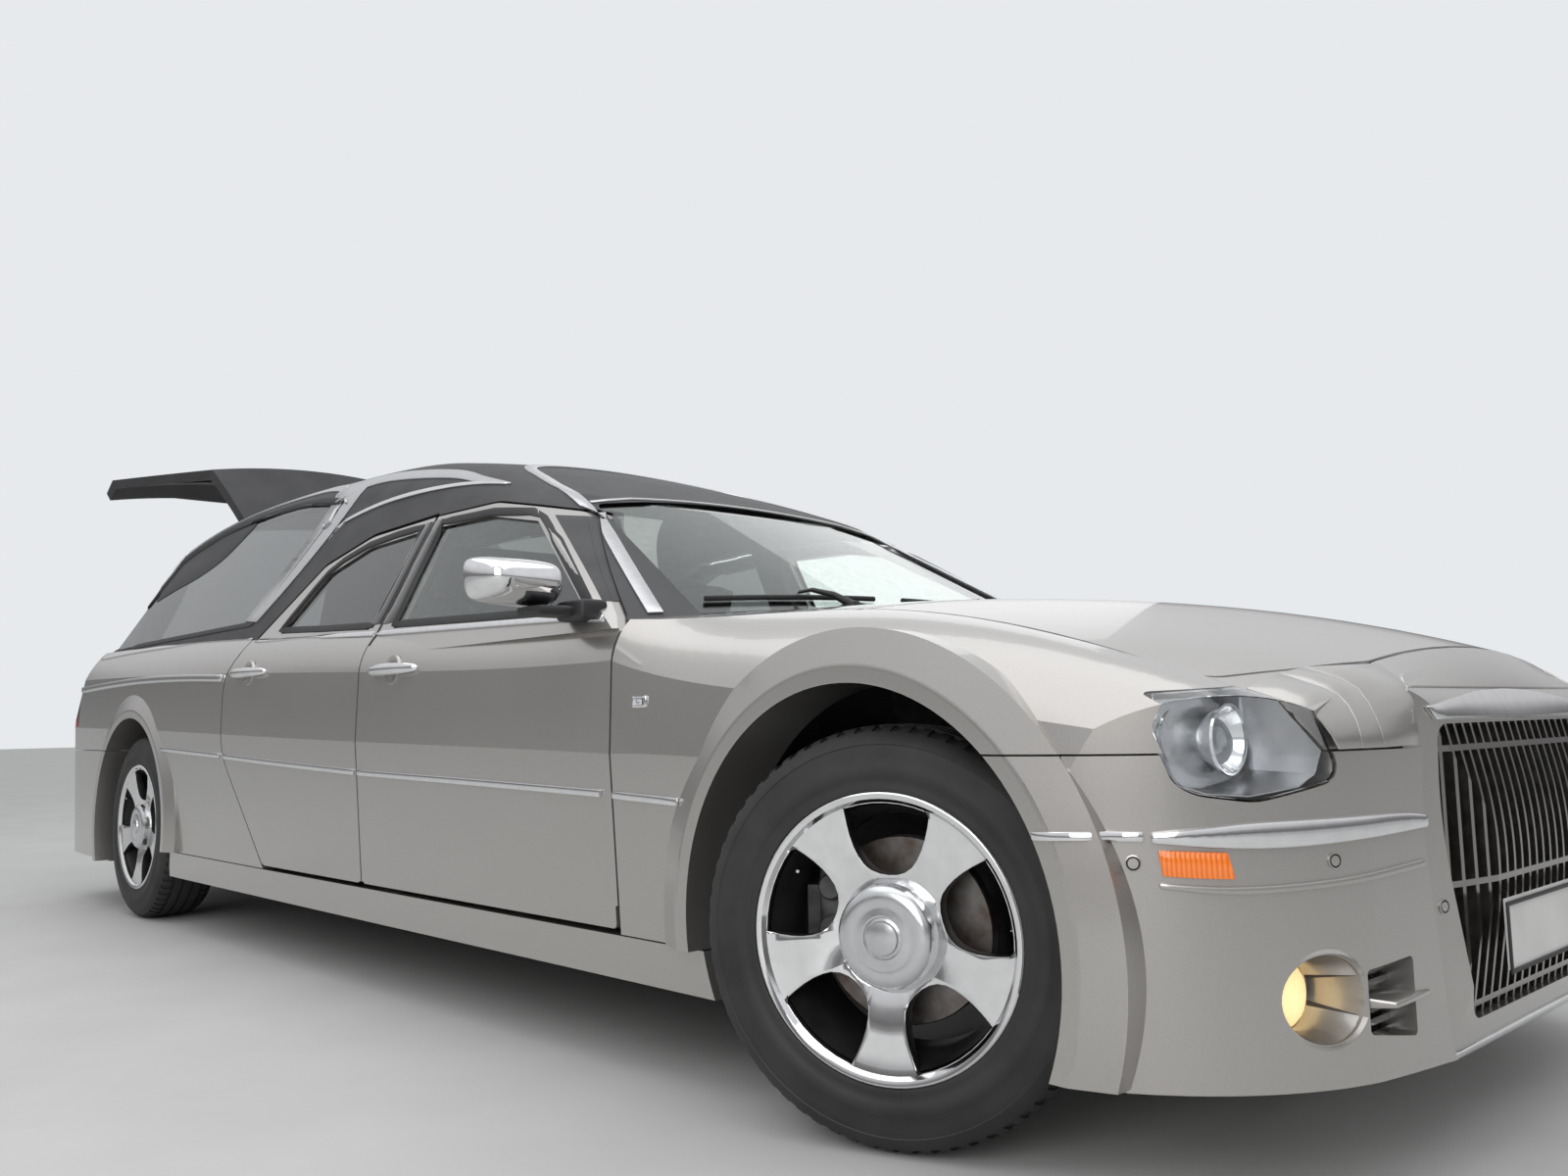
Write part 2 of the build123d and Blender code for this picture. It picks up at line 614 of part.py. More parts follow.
for side in (-1, 1):
    inner = side * well_inner
    outer = side * (flare_inner - glass_gap)
    floor -= rod((-wheelbase, inner - side * glass_gap, axle_z), (-wheelbase, side * 1100, axle_z),
                 well + glass_gap)
    house = rod((-wheelbase, inner, axle_z), (-wheelbase, outer, axle_z), well)
    house -= rod((-wheelbase, inner + side * 14, axle_z), (-wheelbase, side * 1100, axle_z), arch_radius)
    house -= block(-wheelbase - 600, -wheelbase + 600, -1200, 1200, -200, floor_top - floor_thick)
    house -= block(-wheelbase - 120, -wheelbase + 120, -1200, 1200, 0, axle_z + 90)
    wheel_houses.append(house)

# Centre pillars between the doors, behind them on both sides
pillar = front_prism([
    (802.0, sill_top + glass_gap), (838.0, sill_top + glass_gap), (838.0, 925.0),
    (626.0, 1392.0), (590.0, 1392.0), (802.0, 925.0),
], centre_pillar_x - 60, centre_pillar_x + 60)
pillar = pillar + block(centre_pillar_x + 2, centre_pillar_x + 60, 830, 840 - glass_gap, 320, 900)

# Front frame: side rails, strut towers with the bonnet's rest posts, and a beam behind the bumper
rail_low = 440.0
rail_high = 560.0
tower_top = 800.0
strut_top = 780.0
front_frame = block(545, 585 - glass_gap, -560, 560, 380, rail_high)
for side in (-1, 1):
    rail = (min(400 * side, 460 * side), max(400 * side, 460 * side))
    tower = (min(400 * side, 700 * side), max(400 * side, 700 * side))
    front_frame += block(-660 + glass_gap, 560, *rail, rail_low, rail_high)
    front_frame += block(-100, 60, *rail, rail_low, tower_top)
    front_frame += block(-100, 60, *tower, strut_top + glass_gap, tower_top)
    post = rod((0, 600 * side, tower_top - 10), (0, 600 * side, 1100), 12) & lower_inner
    front_frame += Pos(0, 0, -glass_gap) * post

# Wheels, laid out with the axle along Y at the origin and the outer face towards +Y
half_tyre = tyre_width / 2
half_rim = rim_width / 2


def turned(profile):
    """Ring turned about the wheel's own axis from (radius, y) corners."""
    return revolve(flat_outline(profile), axis=Axis.Y)


def make_tyre():
    """Tyre with square shoulders, bulged sidewalls and open beads."""
    return turned([
        (bead_radius + tyre_gap, -half_rim + 13.6), (rim_radius + tyre_gap, -half_rim + 7.4),
        (rim_radius + tyre_gap, -half_rim - 1),
        (300.0, -half_tyre - 2, 90), (tyre_radius - 12, -half_tyre + 16, 18),
        (tyre_radius, -half_tyre + 42), (tyre_radius, half_tyre - 42),
        (tyre_radius - 12, half_tyre - 16, 18), (300.0, half_tyre + 2, 90),
        (rim_radius + tyre_gap, half_rim + 1), (rim_radius + tyre_gap, half_rim - 7.4),
        (bead_radius + tyre_gap, half_rim - 13.6), (bead_radius + tyre_gap, half_rim - 40),
        (bead_radius + 14, half_rim - 46), (bead_radius + 14, -half_rim + 46),
        (bead_radius + tyre_gap, -half_rim + 40),
    ])


def make_rim():
    """Five-spoke rim with D-shaped openings, barrel, hub cap and brake disc."""
    barrel = turned([
        (bead_radius - 8, -half_rim), (rim_radius, -half_rim), (rim_radius, -half_rim + 7),
        (bead_radius, -half_rim + 13), (bead_radius, half_rim - 13), (rim_radius, half_rim - 7),
        (rim_radius, half_rim), (bead_radius - 6, half_rim), (bead_radius - 12, half_rim - 22),
        (bead_radius - 8, half_rim - 40),
    ])
    face = turned([
        (0.0, half_rim - 52), (70.0, half_rim - 52), (120.0, half_rim - 44, 60),
        (bead_radius - 4, half_rim - 34), (bead_radius - 4, half_rim - 12),
        (120.0, half_rim - 22, 120), (78.0, half_rim - 18), (0.0, half_rim - 18),
    ])
    opening = side_prism([
        (-58.0, 196.0, 34), (58.0, 196.0, 34), (40.0, 112.0, 26), (-40.0, 112.0, 26),
    ], 0, 200)
    turns = [Rot(0, 360.0 / spoke_count * (i + 0.5), 0) * opening for i in range(spoke_count)]
    cap = turned([
        (0.0, half_rim - 20), (hub_radius, half_rim - 20), (hub_radius, half_rim - 8, 5),
        (hub_radius - 22, half_rim + 4, 20), (0.0, half_rim + 6),
    ])
    hub = turned([(0.0, -38.0), (72.0, -38.0), (72.0, half_rim - 51), (0.0, half_rim - 51)])
    disc = turned([
        (60.0, -38.0), (disc_radius, -38.0), (disc_radius, -38.0 + disc_thick),
        (60.0, -38.0 + disc_thick),
    ])
    return (barrel + (face - turns) + cap + hub + disc).clean()


tyre = make_tyre()
rim = make_rim()
kingpin_y = track / 2 - 65.0
kingpin_x = -22.0
pin_half = 100.0
carrier_face = track / 2 - 38.0


def make_knuckle():
    """Left front knuckle with its stub and brake caliper, steered straight ahead."""
    post = rod((kingpin_x, kingpin_y, axle_z - pin_half), (kingpin_x, kingpin_y, axle_z + pin_half), 21)
    stub = rod((kingpin_x, kingpin_y, axle_z), (kingpin_x, carrier_face - 0.3, axle_z), 46)
    bracket = block(kingpin_x - 150, kingpin_x, kingpin_y - 14, kingpin_y + 8, axle_z - 10, axle_z + 40)
    caliper = block(kingpin_x - 185, kingpin_x - 120, kingpin_y - 14, track / 2 + 14,
                    axle_z - 70, axle_z + 70)
    slot_low = carrier_face - 6
    slot_high = carrier_face + disc_thick + 6
    slot = block(kingpin_x - 175, kingpin_x, slot_low, slot_high, axle_z - 90, axle_z + 90)
    return post + stub + bracket + (caliper - slot)


steer = Pos(kingpin_x, kingpin_y, 0) * Rot(0, 0, steer_angle) * Pos(-kingpin_x, -kingpin_y, 0)
steer_right = Pos(kingpin_x, -kingpin_y, 0) * Rot(0, 0, steer_angle) * Pos(-kingpin_x, kingpin_y, 0)
left_wheel = Pos(kingpin_x, track / 2, axle_z)
right_wheel = Pos(kingpin_x, -track / 2, axle_z) * Rot(0, 0, 180)
rear_left = Pos(-wheelbase, track / 2, axle_z)
rear_right = Pos(-wheelbase, -track / 2, axle_z) * Rot(0, 0, 180)

# Front suspension: cross-member, arms that end at the knuckle's pins, and dampers
arm_low = axle_z - pin_half - 0.3
arm_high = axle_z + pin_half + 0.3
arm_plan = [
    (kingpin_x - 110, 400.0), (kingpin_x + 110, 400.0), (kingpin_x + 15, kingpin_y + 14, 8),
    (kingpin_x - 15, kingpin_y + 14, 8),
]
strut_y = 540.0
front_suspension = block(kingpin_x - 130, kingpin_x + 130, -430, 430, 219, 275)
for side in (-1, 1):
    corners = [(c[0], c[1] * side, *c[2:]) for c in arm_plan]
    front_suspension += plan_prism(corners, arm_low - 28, arm_low)
    front_suspension += block(kingpin_x - 15, kingpin_x + 15, min(strut_y * side, (kingpin_y + 14) * side),
                              max(strut_y * side, (kingpin_y + 14) * side), arm_high, arm_high + 26)
    front_suspension += rod((kingpin_x, strut_y * side, arm_low - 14), (kingpin_x, strut_y * side, strut_top), 42)

# Rear axle: cross-member, differential, half shafts and dampers
rear_axle = block(-wheelbase - 90, -wheelbase + 90, -420, 420, 300, 352)
rear_axle += Pos(-wheelbase, 0, 330) * Cylinder(130, 250, rotation=(90, 0, 0))
stub_face = carrier_face - 0.3
for side in (-1, 1):
    rear_axle += rod((-wheelbase, 100 * side, axle_z), (-wheelbase, 672 * side, axle_z), 28)
    rear_axle += rod((-wheelbase, 661 * side, axle_z), (-wheelbase, stub_face * side, axle_z), 46)
    rear_axle += rod((-wheelbase, 620 * side, axle_z - 40), (-wheelbase, 620 * side, axle_z + 428), 30)
    rear_axle += block(-wheelbase - 36, -wheelbase + 36, min(400 * side, 644 * side),
                       max(400 * side, 644 * side), 308, 340)

# Engine as one plain block, exhaust and fuel tank under the floor
engine = block(-480, 420, -290, 290, 275 + glass_gap, 790)
exhaust_z = 188.0
exhaust = rod((-500, 330, exhaust_z), (-3450, 330, exhaust_z), 28)
exhaust += block(-2620, -1980, 210, 450, 159, floor_top - floor_thick - glass_gap)
exhaust += rod((-3446, 330, exhaust_z), (-4400, 480, exhaust_z), 25)
exhaust += block(-4900, -4370, 330, 630, 159, floor_top - floor_thick - glass_gap)
exhaust += rod((-4890, 480, 168), (-5150, 480, 168), 24)
fuel_tank = block(-3520, -2900, -520, 200, 160, floor_top - floor_thick - glass_gap)

# Cabin: dashboard, steering wheel, seats, partition and the coffin deck
dash_side = [
    (-700.3, 895.0), (-760.0, 960.0, 20), (-1010.0, 985.0, 60), (-1130.0, 900.0, 60),
    (-1090.0, 690.0, 40), (-700.3, 640.0),
]
dashboard = side_prism(dash_side, -730, 730)
wheel_centre = Vector(-1290.0, 370.0, 905.0)
column_along = Vector(0.906, 0, -0.423)
wheel_plane = Plane(origin=wheel_centre, x_dir=(0, 1, 0), z_dir=column_along)
steering_wheel = wheel_plane * Torus(186, 15)
steering_wheel += wheel_plane * Cylinder(62, 40)
steering_wheel += extrude(wheel_plane * Circle(24), amount=190)
steering_wheel += wheel_plane * Box(370, 34, 16)
steering_wheel -= dashboard


def make_seat(x, y, width):
    """One seat with cushion, leaning back and head rest, and the runner block under it."""
    cushion = side_prism([
        (x + 480, 400, 60), (x, 370, 30), (x, 520, 40), (x + 500, 560, 60),
    ], y - width / 2, y + width / 2)
    back = side_prism([
        (x + 90, 470, 30), (x - 60, 440, 40), (x - 240, 1010, 50), (x - 110, 1050, 50),
    ], y - width / 2, y + width / 2)
    return cushion + back


def make_head_rest(x, y):
    """Head rest on one post."""
    head = Pos(x - 215, y, 1140) * Box(90, 250, 150)
    head = fillet(head.edges(), 35)
    return head + rod((x - 190, y, 1020), (x - 212, y, 1090), 9)


front_seats = []
for side in (-1, 1):
    seat = make_seat(-1820, 370 * side, 520) + make_head_rest(-1820, 370 * side)
    seat += block(-1780, -1380, 370 * side - 190, 370 * side + 190, floor_top + 0.3, 420)
    front_seats.append(seat)
rear_seat = make_seat(-2560, 0, 1290)
rear_seat += block(-2520, -2140, -600, 600, floor_top + 0.3, 420)
for side in (-1, 1):
    rear_seat += make_head_rest(-2560, 370 * side)
partition_x = -2905.0
partition = front_prism([
    (775.0, floor_top + glass_gap), (775.0, 940.0, 30), (640.0, 980.0, 30), (560.0, 1430.0, 80),
    (-560.0, 1430.0, 80), (-640.0, 980.0, 30), (-775.0, 940.0, 30), (-775.0, floor_top + glass_gap),
], partition_x - 30, partition_x)
deck_height = 640.0
deck_half = 540.0
deck = block(-5020, partition_x - 31, -deck_half, deck_half, deck_height - 24, deck_height)
for x in (-3050.0, -3560.0, -4420.0, -4900.0):
    deck += block(x - 20, x + 20, -500, 500, floor_top + glass_gap, deck_height - 23)

roller_radius = 24.0
for i in range(6):
    roller_x = -3150 - i * 340
    deck += rod((roller_x, -430, deck_height + 8), (roller_x, 430, deck_height + 8), roller_radius)

mirror_left = door_mirror()

# Blank number plates on short studs
plate_half = 260.0
front_plate = block(793, 797, -plate_half, plate_half, 310, 420)
rear_plate = block(-5140 - glass_gap - 4, -5140 - glass_gap, -plate_half, plate_half, 430, 540)
front_plate += block(740, 794, -150, 150, 380, 400) - shell_form(14.0 - glass_gap)

parts = {
    "floor": floor,
    "sills": [sill, other_side(sill)],
    "quarter_left": quarter,
    "quarter_right": other_side(quarter),
    "roof": roof,
    "bulkhead": bulkhead,
    "wing_left": wing,
    "wing_right": other_side(wing),
    "cowl": cowl,
    "bonnet": bonnet,
    "front_bumper": front_bumper,
    "grille_shell": grille_shell,
    "grille_slats": grille_slats,
    "headlamps": [lamp_bowl, other_side(lamp_bowl)],
    "headlamp_covers": [lamp_cover, other_side(lamp_cover)],
    "fog_lamps": [fog_lamp, other_side(fog_lamp)],
    "rear_bumper": rear_bumper,
    "tail_lamps": [tail_lamp, other_side(tail_lamp)],
    "windscreen": windscreen,
    "side_glass": [side_glass, other_side(side_glass)],
    "front_door_left": front_door,
    "front_door_right": other_side(front_door),
    "rear_door_left": rear_door,
    "rear_door_right": other_side(rear_door),
    "front_door_glass_left": front_glass,
    "front_door_glass_right": other_side(front_glass),
    "rear_door_glass_left": rear_glass,
    "rear_door_glass_right": other_side(rear_glass),
    "mirror_left": mirror_left,
    "mirror_right": other_side(mirror_left),
    "tailgate": tailgate,
    "tailgate_glass": tailgate_glass,
    "deck": deck,
    "partition": partition,
    "dashboard": dashboard,
    "steering_wheel": steering_wheel,
    "front_seats": front_seats,
    "rear_seat": rear_seat,
    "engine": engine,
    "front_suspension": front_suspension,
    "rear_axle": rear_axle,
    "knuckle_left": steer * make_knuckle(),
    "knuckle_right": steer_right * other_side(make_knuckle()),
    "tyre_front_left": steer * left_wheel * tyre,
    "tyre_front_right": steer_right * right_wheel * tyre,
    "tyre_rear_left": rear_left * tyre,
    "tyre_rear_right": rear_right * tyre,
    "rim_front_left": steer * left_wheel * rim,
    "rim_front_right": steer_right * right_wheel * rim,
    "rim_rear_left": rear_left * rim,
    "rim_rear_right": rear_right * rim,
    "exhaust": exhaust,
    "fuel_tank": fuel_tank,
    "wheel_houses": wheel_houses,
    "pillars": [pillar, other_side(pillar)],
    "number_plates": [front_plate, rear_plate],
    "front_frame": front_frame,
}

os.makedirs("parts", exist_ok=True)
for name, shape in parts.items():
    if isinstance(shape, list):
        shape = Compound(children=[on_car(piece) for piece in shape])
    else:
        shape = on_car(shape)
    export_step(shape, os.path.join("parts", name + ".step"))
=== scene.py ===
import bpy
import bmesh
import json
import math
from mathutils import Euler, Matrix, Vector
from mathutils.bvhtree import BVHTree


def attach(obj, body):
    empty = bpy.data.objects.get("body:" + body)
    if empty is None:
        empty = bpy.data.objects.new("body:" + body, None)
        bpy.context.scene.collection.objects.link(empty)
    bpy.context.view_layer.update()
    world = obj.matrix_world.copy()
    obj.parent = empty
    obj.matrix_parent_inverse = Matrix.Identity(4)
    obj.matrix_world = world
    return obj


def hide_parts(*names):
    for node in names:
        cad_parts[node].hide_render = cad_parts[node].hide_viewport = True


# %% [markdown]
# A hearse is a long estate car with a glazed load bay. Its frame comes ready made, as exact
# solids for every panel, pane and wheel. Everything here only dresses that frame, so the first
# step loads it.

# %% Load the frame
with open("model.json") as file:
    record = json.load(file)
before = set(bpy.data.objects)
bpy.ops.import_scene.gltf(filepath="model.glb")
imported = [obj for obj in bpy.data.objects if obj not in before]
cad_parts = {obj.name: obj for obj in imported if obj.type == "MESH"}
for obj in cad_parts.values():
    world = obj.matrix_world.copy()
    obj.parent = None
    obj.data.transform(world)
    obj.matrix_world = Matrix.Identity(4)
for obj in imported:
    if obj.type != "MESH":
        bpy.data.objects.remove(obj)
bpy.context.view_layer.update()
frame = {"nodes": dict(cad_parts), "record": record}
nodes = frame["nodes"]

# %% [markdown]
# The picture was taken with a wide lens from knee height beside the right front wheel. The camera
# stands at the same place, turned and rolled as the photographer held it, so that the long flank
# runs away to the left in the same strong perspective.

# %% Set up the camera
front_axle_x = 2.364
camera_place = Vector((1.52662 + front_axle_x, -2.50050, 0.72444))
camera_yaw = math.radians(136.957)
camera_pitch = math.radians(5.994)
camera_roll = math.radians(-1.1265)
ahead = Vector((math.cos(camera_pitch) * math.cos(camera_yaw),
                math.cos(camera_pitch) * math.sin(camera_yaw),
                math.sin(camera_pitch)))
level_right = ahead.cross(Vector((0, 0, 1))).normalized()
level_up = level_right.cross(ahead)
right = math.cos(camera_roll) * level_right + math.sin(camera_roll) * level_up
up = -math.sin(camera_roll) * level_right + math.cos(camera_roll) * level_up
camera_data = bpy.data.cameras.new("camera")
camera_data.sensor_width = 36
camera_data.lens = 29.11
camera_data.clip_end = 200
camera = bpy.data.objects.new("camera", camera_data)
bpy.context.scene.collection.objects.link(camera)
camera_turn = Matrix((right, up, -ahead)).transposed().to_4x4()
camera.matrix_world = Matrix.Translation(camera_place) @ camera_turn
bpy.context.scene.camera = camera
bpy.context.scene.view_settings.view_transform = "Standard"
print("camera at", [round(v, 2) for v in camera_place])

# %% [markdown]
# Overcast daylight has no hard edge. A pale world gives the paint and chrome something even to
# mirror, darker near the ground, and two broad lamps above and beside the car bring out the form.


# %% Light the stage
def linked(tree, source, target):
    """Join two sockets of a node tree."""
    tree.links.new(source, target)


world = bpy.data.worlds.new("overcast")
bpy.context.scene.world = world
world.use_nodes = True
sky = world.node_tree
background = sky.nodes["Background"]
direction = sky.nodes.new("ShaderNodeTexCoord")
split = sky.nodes.new("ShaderNodeSeparateXYZ")
ramp = sky.nodes.new("ShaderNodeValToRGB")
ramp.color_ramp.elements[0].position = 0.0
ramp.color_ramp.elements[0].color = (0.34, 0.34, 0.34, 1)
ramp.color_ramp.elements[1].position = 0.50
ramp.color_ramp.elements[1].color = (0.96, 0.98, 1.0, 1)
for height, shade in ((0.05, 0.20), (0.13, 0.34), (0.22, 0.72)):
    horizon = ramp.color_ramp.elements.new(height)
    horizon.color = (shade, shade, shade * 1.02, 1)
linked(sky, direction.outputs["Generated"], split.inputs[0])
linked(sky, split.outputs["Z"], ramp.inputs["Fac"])
linked(sky, ramp.outputs["Color"], background.inputs["Color"])
background.inputs["Strength"].default_value = 0.80
pale = sky.nodes.new("ShaderNodeBackground")
pale.inputs["Color"].default_value = (0.80, 0.82, 0.84, 1)
rays = sky.nodes.new("ShaderNodeLightPath")
either = sky.nodes.new("ShaderNodeMath")
either.operation = "MAXIMUM"
linked(sky, rays.outputs["Is Camera Ray"], either.inputs[0])
linked(sky, rays.outputs["Is Transmission Ray"], either.inputs[1])
blend_sky = sky.nodes.new("ShaderNodeMixShader")
linked(sky, either.outputs["Value"], blend_sky.inputs["Fac"])
linked(sky, background.outputs["Background"], blend_sky.inputs[1])
linked(sky, pale.outputs["Background"], blend_sky.inputs[2])
linked(sky, blend_sky.outputs["Shader"], sky.nodes["World Output"].inputs["Surface"])
lamp_table = [
    # name, place, size, power
    ("overhead", (1.0, -1.0, 6.5), 9.0, 230.0),
    ("camera_side", (5.5, -7.0, 3.6), 5.0, 200.0),
    ("far_side", (-5.0, 7.0, 4.5), 6.0, 45.0),
]
for name, place, size, power in lamp_table:
    lamp_data = bpy.data.lights.new(name, "AREA")
    lamp_data.size = size
    lamp_data.energy = power
    lamp = bpy.data.objects.new(name, lamp_data)
    bpy.context.scene.collection.objects.link(lamp)
    lamp.location = place
    lamp.rotation_euler = (Vector((0, 0, 0.6)) - Vector(place)).to_track_quat("-Z", "Y").to_euler()
print("three broad lamps and a pale world")


# %% [markdown]
# Every finish is a small graph of shader nodes. The helper below starts each one from the same
# Principled shader, with its constants written straight on the sockets, and the little ones after
# it add the break-up that stops a surface from looking like plain plastic.

# %% Helpers for materials
finishes = []


def new_material(name, colour, roughness, metallic=0.0, **sockets):
    """Principled material with constants on its sockets; returns it with its tree and shader."""
    material = bpy.data.materials.new(name)
    material.use_nodes = True
    tree = material.node_tree
    shader = tree.nodes["Principled BSDF"]
    shader.inputs["Base Color"].default_value = (*colour, 1)
    shader.inputs["Roughness"].default_value = roughness
    shader.inputs["Metallic"].default_value = metallic
    for socket, value in sockets.items():
        shader.inputs[socket.replace("_", " ")].default_value = value
    finishes.append((tree, shader))
    return material, tree, shader


def noise(tree, scale, detail=3.0, stretch=(1, 1, 1)):
    """Noise on the piece's own coordinates."""
    place = tree.nodes.new("ShaderNodeTexCoord")
    mapping = tree.nodes.new("ShaderNodeMapping")
    mapping.inputs["Scale"].default_value = stretch
    texture = tree.nodes.new("ShaderNodeTexNoise")
    texture.inputs["Scale"].default_value = scale
    texture.inputs["Detail"].default_value = detail
    linked(tree, place.outputs["Object"], mapping.inputs["Vector"])
    linked(tree, mapping.outputs["Vector"], texture.inputs["Vector"])
    return texture


def vary_colour(tree, shader, texture, dark, light):
    """Blend the base colour between two tones by a texture."""
    tones = tree.nodes.new("ShaderNodeValToRGB")
    tones.color_ramp.elements[0].position = 0.3
    tones.color_ramp.elements[1].position = 0.7
    tones.color_ramp.elements[0].color = (*dark, 1)
    tones.color_ramp.elements[1].color = (*light, 1)
    linked(tree, texture.outputs["Fac"], tones.inputs["Fac"])
    linked(tree, tones.outputs["Color"], shader.inputs["Base Color"])


def vary_roughness(tree, shader, texture, low, high):
    """Let roughness wander between two values."""
    span = tree.nodes.new("ShaderNodeMapRange")
    span.inputs["To Min"].default_value = low
    span.inputs["To Max"].default_value = high
    linked(tree, texture.outputs["Fac"], span.inputs["Value"])
    linked(tree, span.outputs["Result"], shader.inputs["Roughness"])


def add_bump(tree, shader, texture, strength, distance, output="Fac"):
    """Fine relief in the shading from a texture."""
    bump = tree.nodes.new("ShaderNodeBump")
    bump.inputs["Strength"].default_value = strength
    bump.inputs["Distance"].default_value = distance
    linked(tree, texture.outputs[output], bump.inputs["Height"])
    linked(tree, bump.outputs["Normal"], shader.inputs["Normal"])


# %% [markdown]
# The body colour is a champagne metallic: a warm silver base with fine flake under a clear coat.
# The vinyl of the roof is a grained black skin. Bright parts are chrome, with the satin trim
# softer.

# %% Body finishes
paint, tree, shader = new_material("champagne_paint", (0.44, 0.42, 0.40), 0.28, 0.82,
                                   Coat_Weight=1.0, Coat_Roughness=0.04, Coat_IOR=1.5)
flakes = noise(tree, 900.0, 1.0)
vary_colour(tree, shader, flakes, (0.41, 0.390, 0.371), (0.48, 0.460, 0.440))
vary_roughness(tree, shader, noise(tree, 3.0), 0.25, 0.33)

vinyl, tree, shader = new_material("roof_vinyl", (0.030, 0.030, 0.032), 0.55)
grain = noise(tree, 420.0, 4.0)
vary_colour(tree, shader, noise(tree, 6.0), (0.024, 0.024, 0.026), (0.042, 0.042, 0.045))
add_bump(tree, shader, grain, 0.5, 0.0012)

chrome, tree, shader = new_material("chrome", (0.80, 0.80, 0.81), 0.06, 1.0)
vary_roughness(tree, shader, noise(tree, 14.0), 0.03, 0.10)

satin, tree, shader = new_material("satin_trim", (0.60, 0.60, 0.61), 0.28, 1.0)
vary_roughness(tree, shader, noise(tree, 60.0, 2.0, (0.1, 1, 1)), 0.22, 0.36)

black_gloss, tree, shader = new_material("black_gloss", (0.010, 0.010, 0.011), 0.12,
                                         Coat_Weight=0.6)
vary_roughness(tree, shader, noise(tree, 9.0), 0.08, 0.18)

rubber, tree, shader = new_material("rubber", (0.014, 0.014, 0.015), 0.6)
add_bump(tree, shader, noise(tree, 300.0), 0.25, 0.0006)

plastic, tree, shader = new_material("black_plastic", (0.022, 0.022, 0.024), 0.5)
add_bump(tree, shader, noise(tree, 500.0), 0.3, 0.0006)

underbody, tree, shader = new_material("underbody", (0.020, 0.020, 0.021), 0.7)
vary_colour(tree, shader, noise(tree, 5.0), (0.014, 0.014, 0.014), (0.035, 0.033, 0.030))
add_bump(tree, shader, noise(tree, 120.0), 0.5, 0.002)

iron, tree, shader = new_material("cast_metal", (0.10, 0.10, 0.105), 0.55, 0.8)
vary_colour(tree, shader, noise(tree, 16.0), (0.06, 0.055, 0.05), (0.15, 0.15, 0.155))
add_bump(tree, shader, noise(tree, 160.0), 0.4, 0.0015)

tyre_rubber, tree, shader = new_material("tyre_rubber", (0.020, 0.020, 0.021), 0.62)
vary_colour(tree, shader, noise(tree, 8.0), (0.015, 0.015, 0.016), (0.030, 0.029, 0.028))
add_bump(tree, shader, noise(tree, 240.0), 0.35, 0.0008)

leather, tree, shader = new_material("seat_leather", (0.028, 0.027, 0.027), 0.42)
add_bump(tree, shader, noise(tree, 260.0, 5.0), 0.45, 0.001)

wood, tree, shader = new_material("deck_wood", (0.16, 0.075, 0.035), 0.3, Coat_Weight=0.6)
vary_colour(tree, shader, noise(tree, 9.0, 6.0, (0.15, 2.4, 1)), (0.07, 0.030, 0.014),
            (0.22, 0.115, 0.055))

print("body finishes made")


# %% [markdown]
# Glass is a thin pane here, so it is given no refraction depth: a mix of clear transmission and a
# tint. The panes of the load bay are tinted dark, the windscreen and front doors are nearly
# clear.

# %% Glass finishes
def new_glass(name, colour, roughness=0.0, alpha=1.0):
    """Tinted see-through material."""
    material, tree, shader = new_material(name, colour, roughness, 0.0, IOR=1.45,
                                          Transmission_Weight=1.0)
    vary_roughness(tree, shader, noise(tree, 4.0), roughness, roughness + 0.02)
    shader.inputs["Alpha"].default_value = alpha
    return material


clear_glass = new_glass("clear_glass", (0.82, 0.88, 0.85))
tinted_glass = new_glass("tinted_glass", (0.15, 0.165, 0.165))
tinted_glass.node_tree.nodes["Principled BSDF"].inputs["IOR"].default_value = 1.85
lamp_glass = new_glass("lamp_glass", (0.97, 0.98, 1.0))
red_glass = new_glass("red_lens", (0.55, 0.02, 0.02), 0.08)
glow, tree, shader = new_material("warm_glow", (1.0, 0.78, 0.42), 0.4,
                                  Emission_Color=(1.0, 0.72, 0.34, 1), Emission_Strength=0.75)
add_bump(tree, shader, noise(tree, 160.0), 0.6, 0.002)
vary_roughness(tree, shader, noise(tree, 30.0), 0.3, 0.5)
plate_white, tree, shader = new_material("blank_plate", (0.62, 0.62, 0.60), 0.35)
vary_colour(tree, shader, noise(tree, 7.0), (0.58, 0.58, 0.56), (0.68, 0.68, 0.66))
print("glass finishes made")

# %% [markdown]
# Each piece of the frame names its material slot in the record. A short table turns those slots
# into the finishes above.

# %% Dress the frame's own pieces
finish_of_slot = {
    "paint": paint, "roof_vinyl": vinyl, "underbody": underbody, "black_plastic": plastic,
    "chrome": chrome, "lamp_bowl": chrome, "clear_glass": clear_glass, "lamp_glass": lamp_glass,
    "tinted_glass": tinted_glass, "red_lens": red_glass, "deck_wood": wood, "leather": leather,
    "cast_metal": iron, "exhaust_steel": iron, "plate": plate_white, "tyre": tyre_rubber,
    "wheel_chrome": chrome,
}
slot_of_node = {row["node"]: row["material_slot"] for row in frame["record"]["subparts"]}
for name, node in nodes.items():
    node.data.materials.clear()
    node.data.materials.append(finish_of_slot[slot_of_node[name]])
nodes["headlamp_covers"].data.materials[0] = lamp_glass
print("finishes on", len(nodes), "pieces")

# %% [markdown]
# The rest of the file models the trim by hand, with Blender's own operators. An operator acts on
# all that is selected, so the first helpers clear the selection, pick one piece, and select its
# faces or edges by where they lie and how they face.


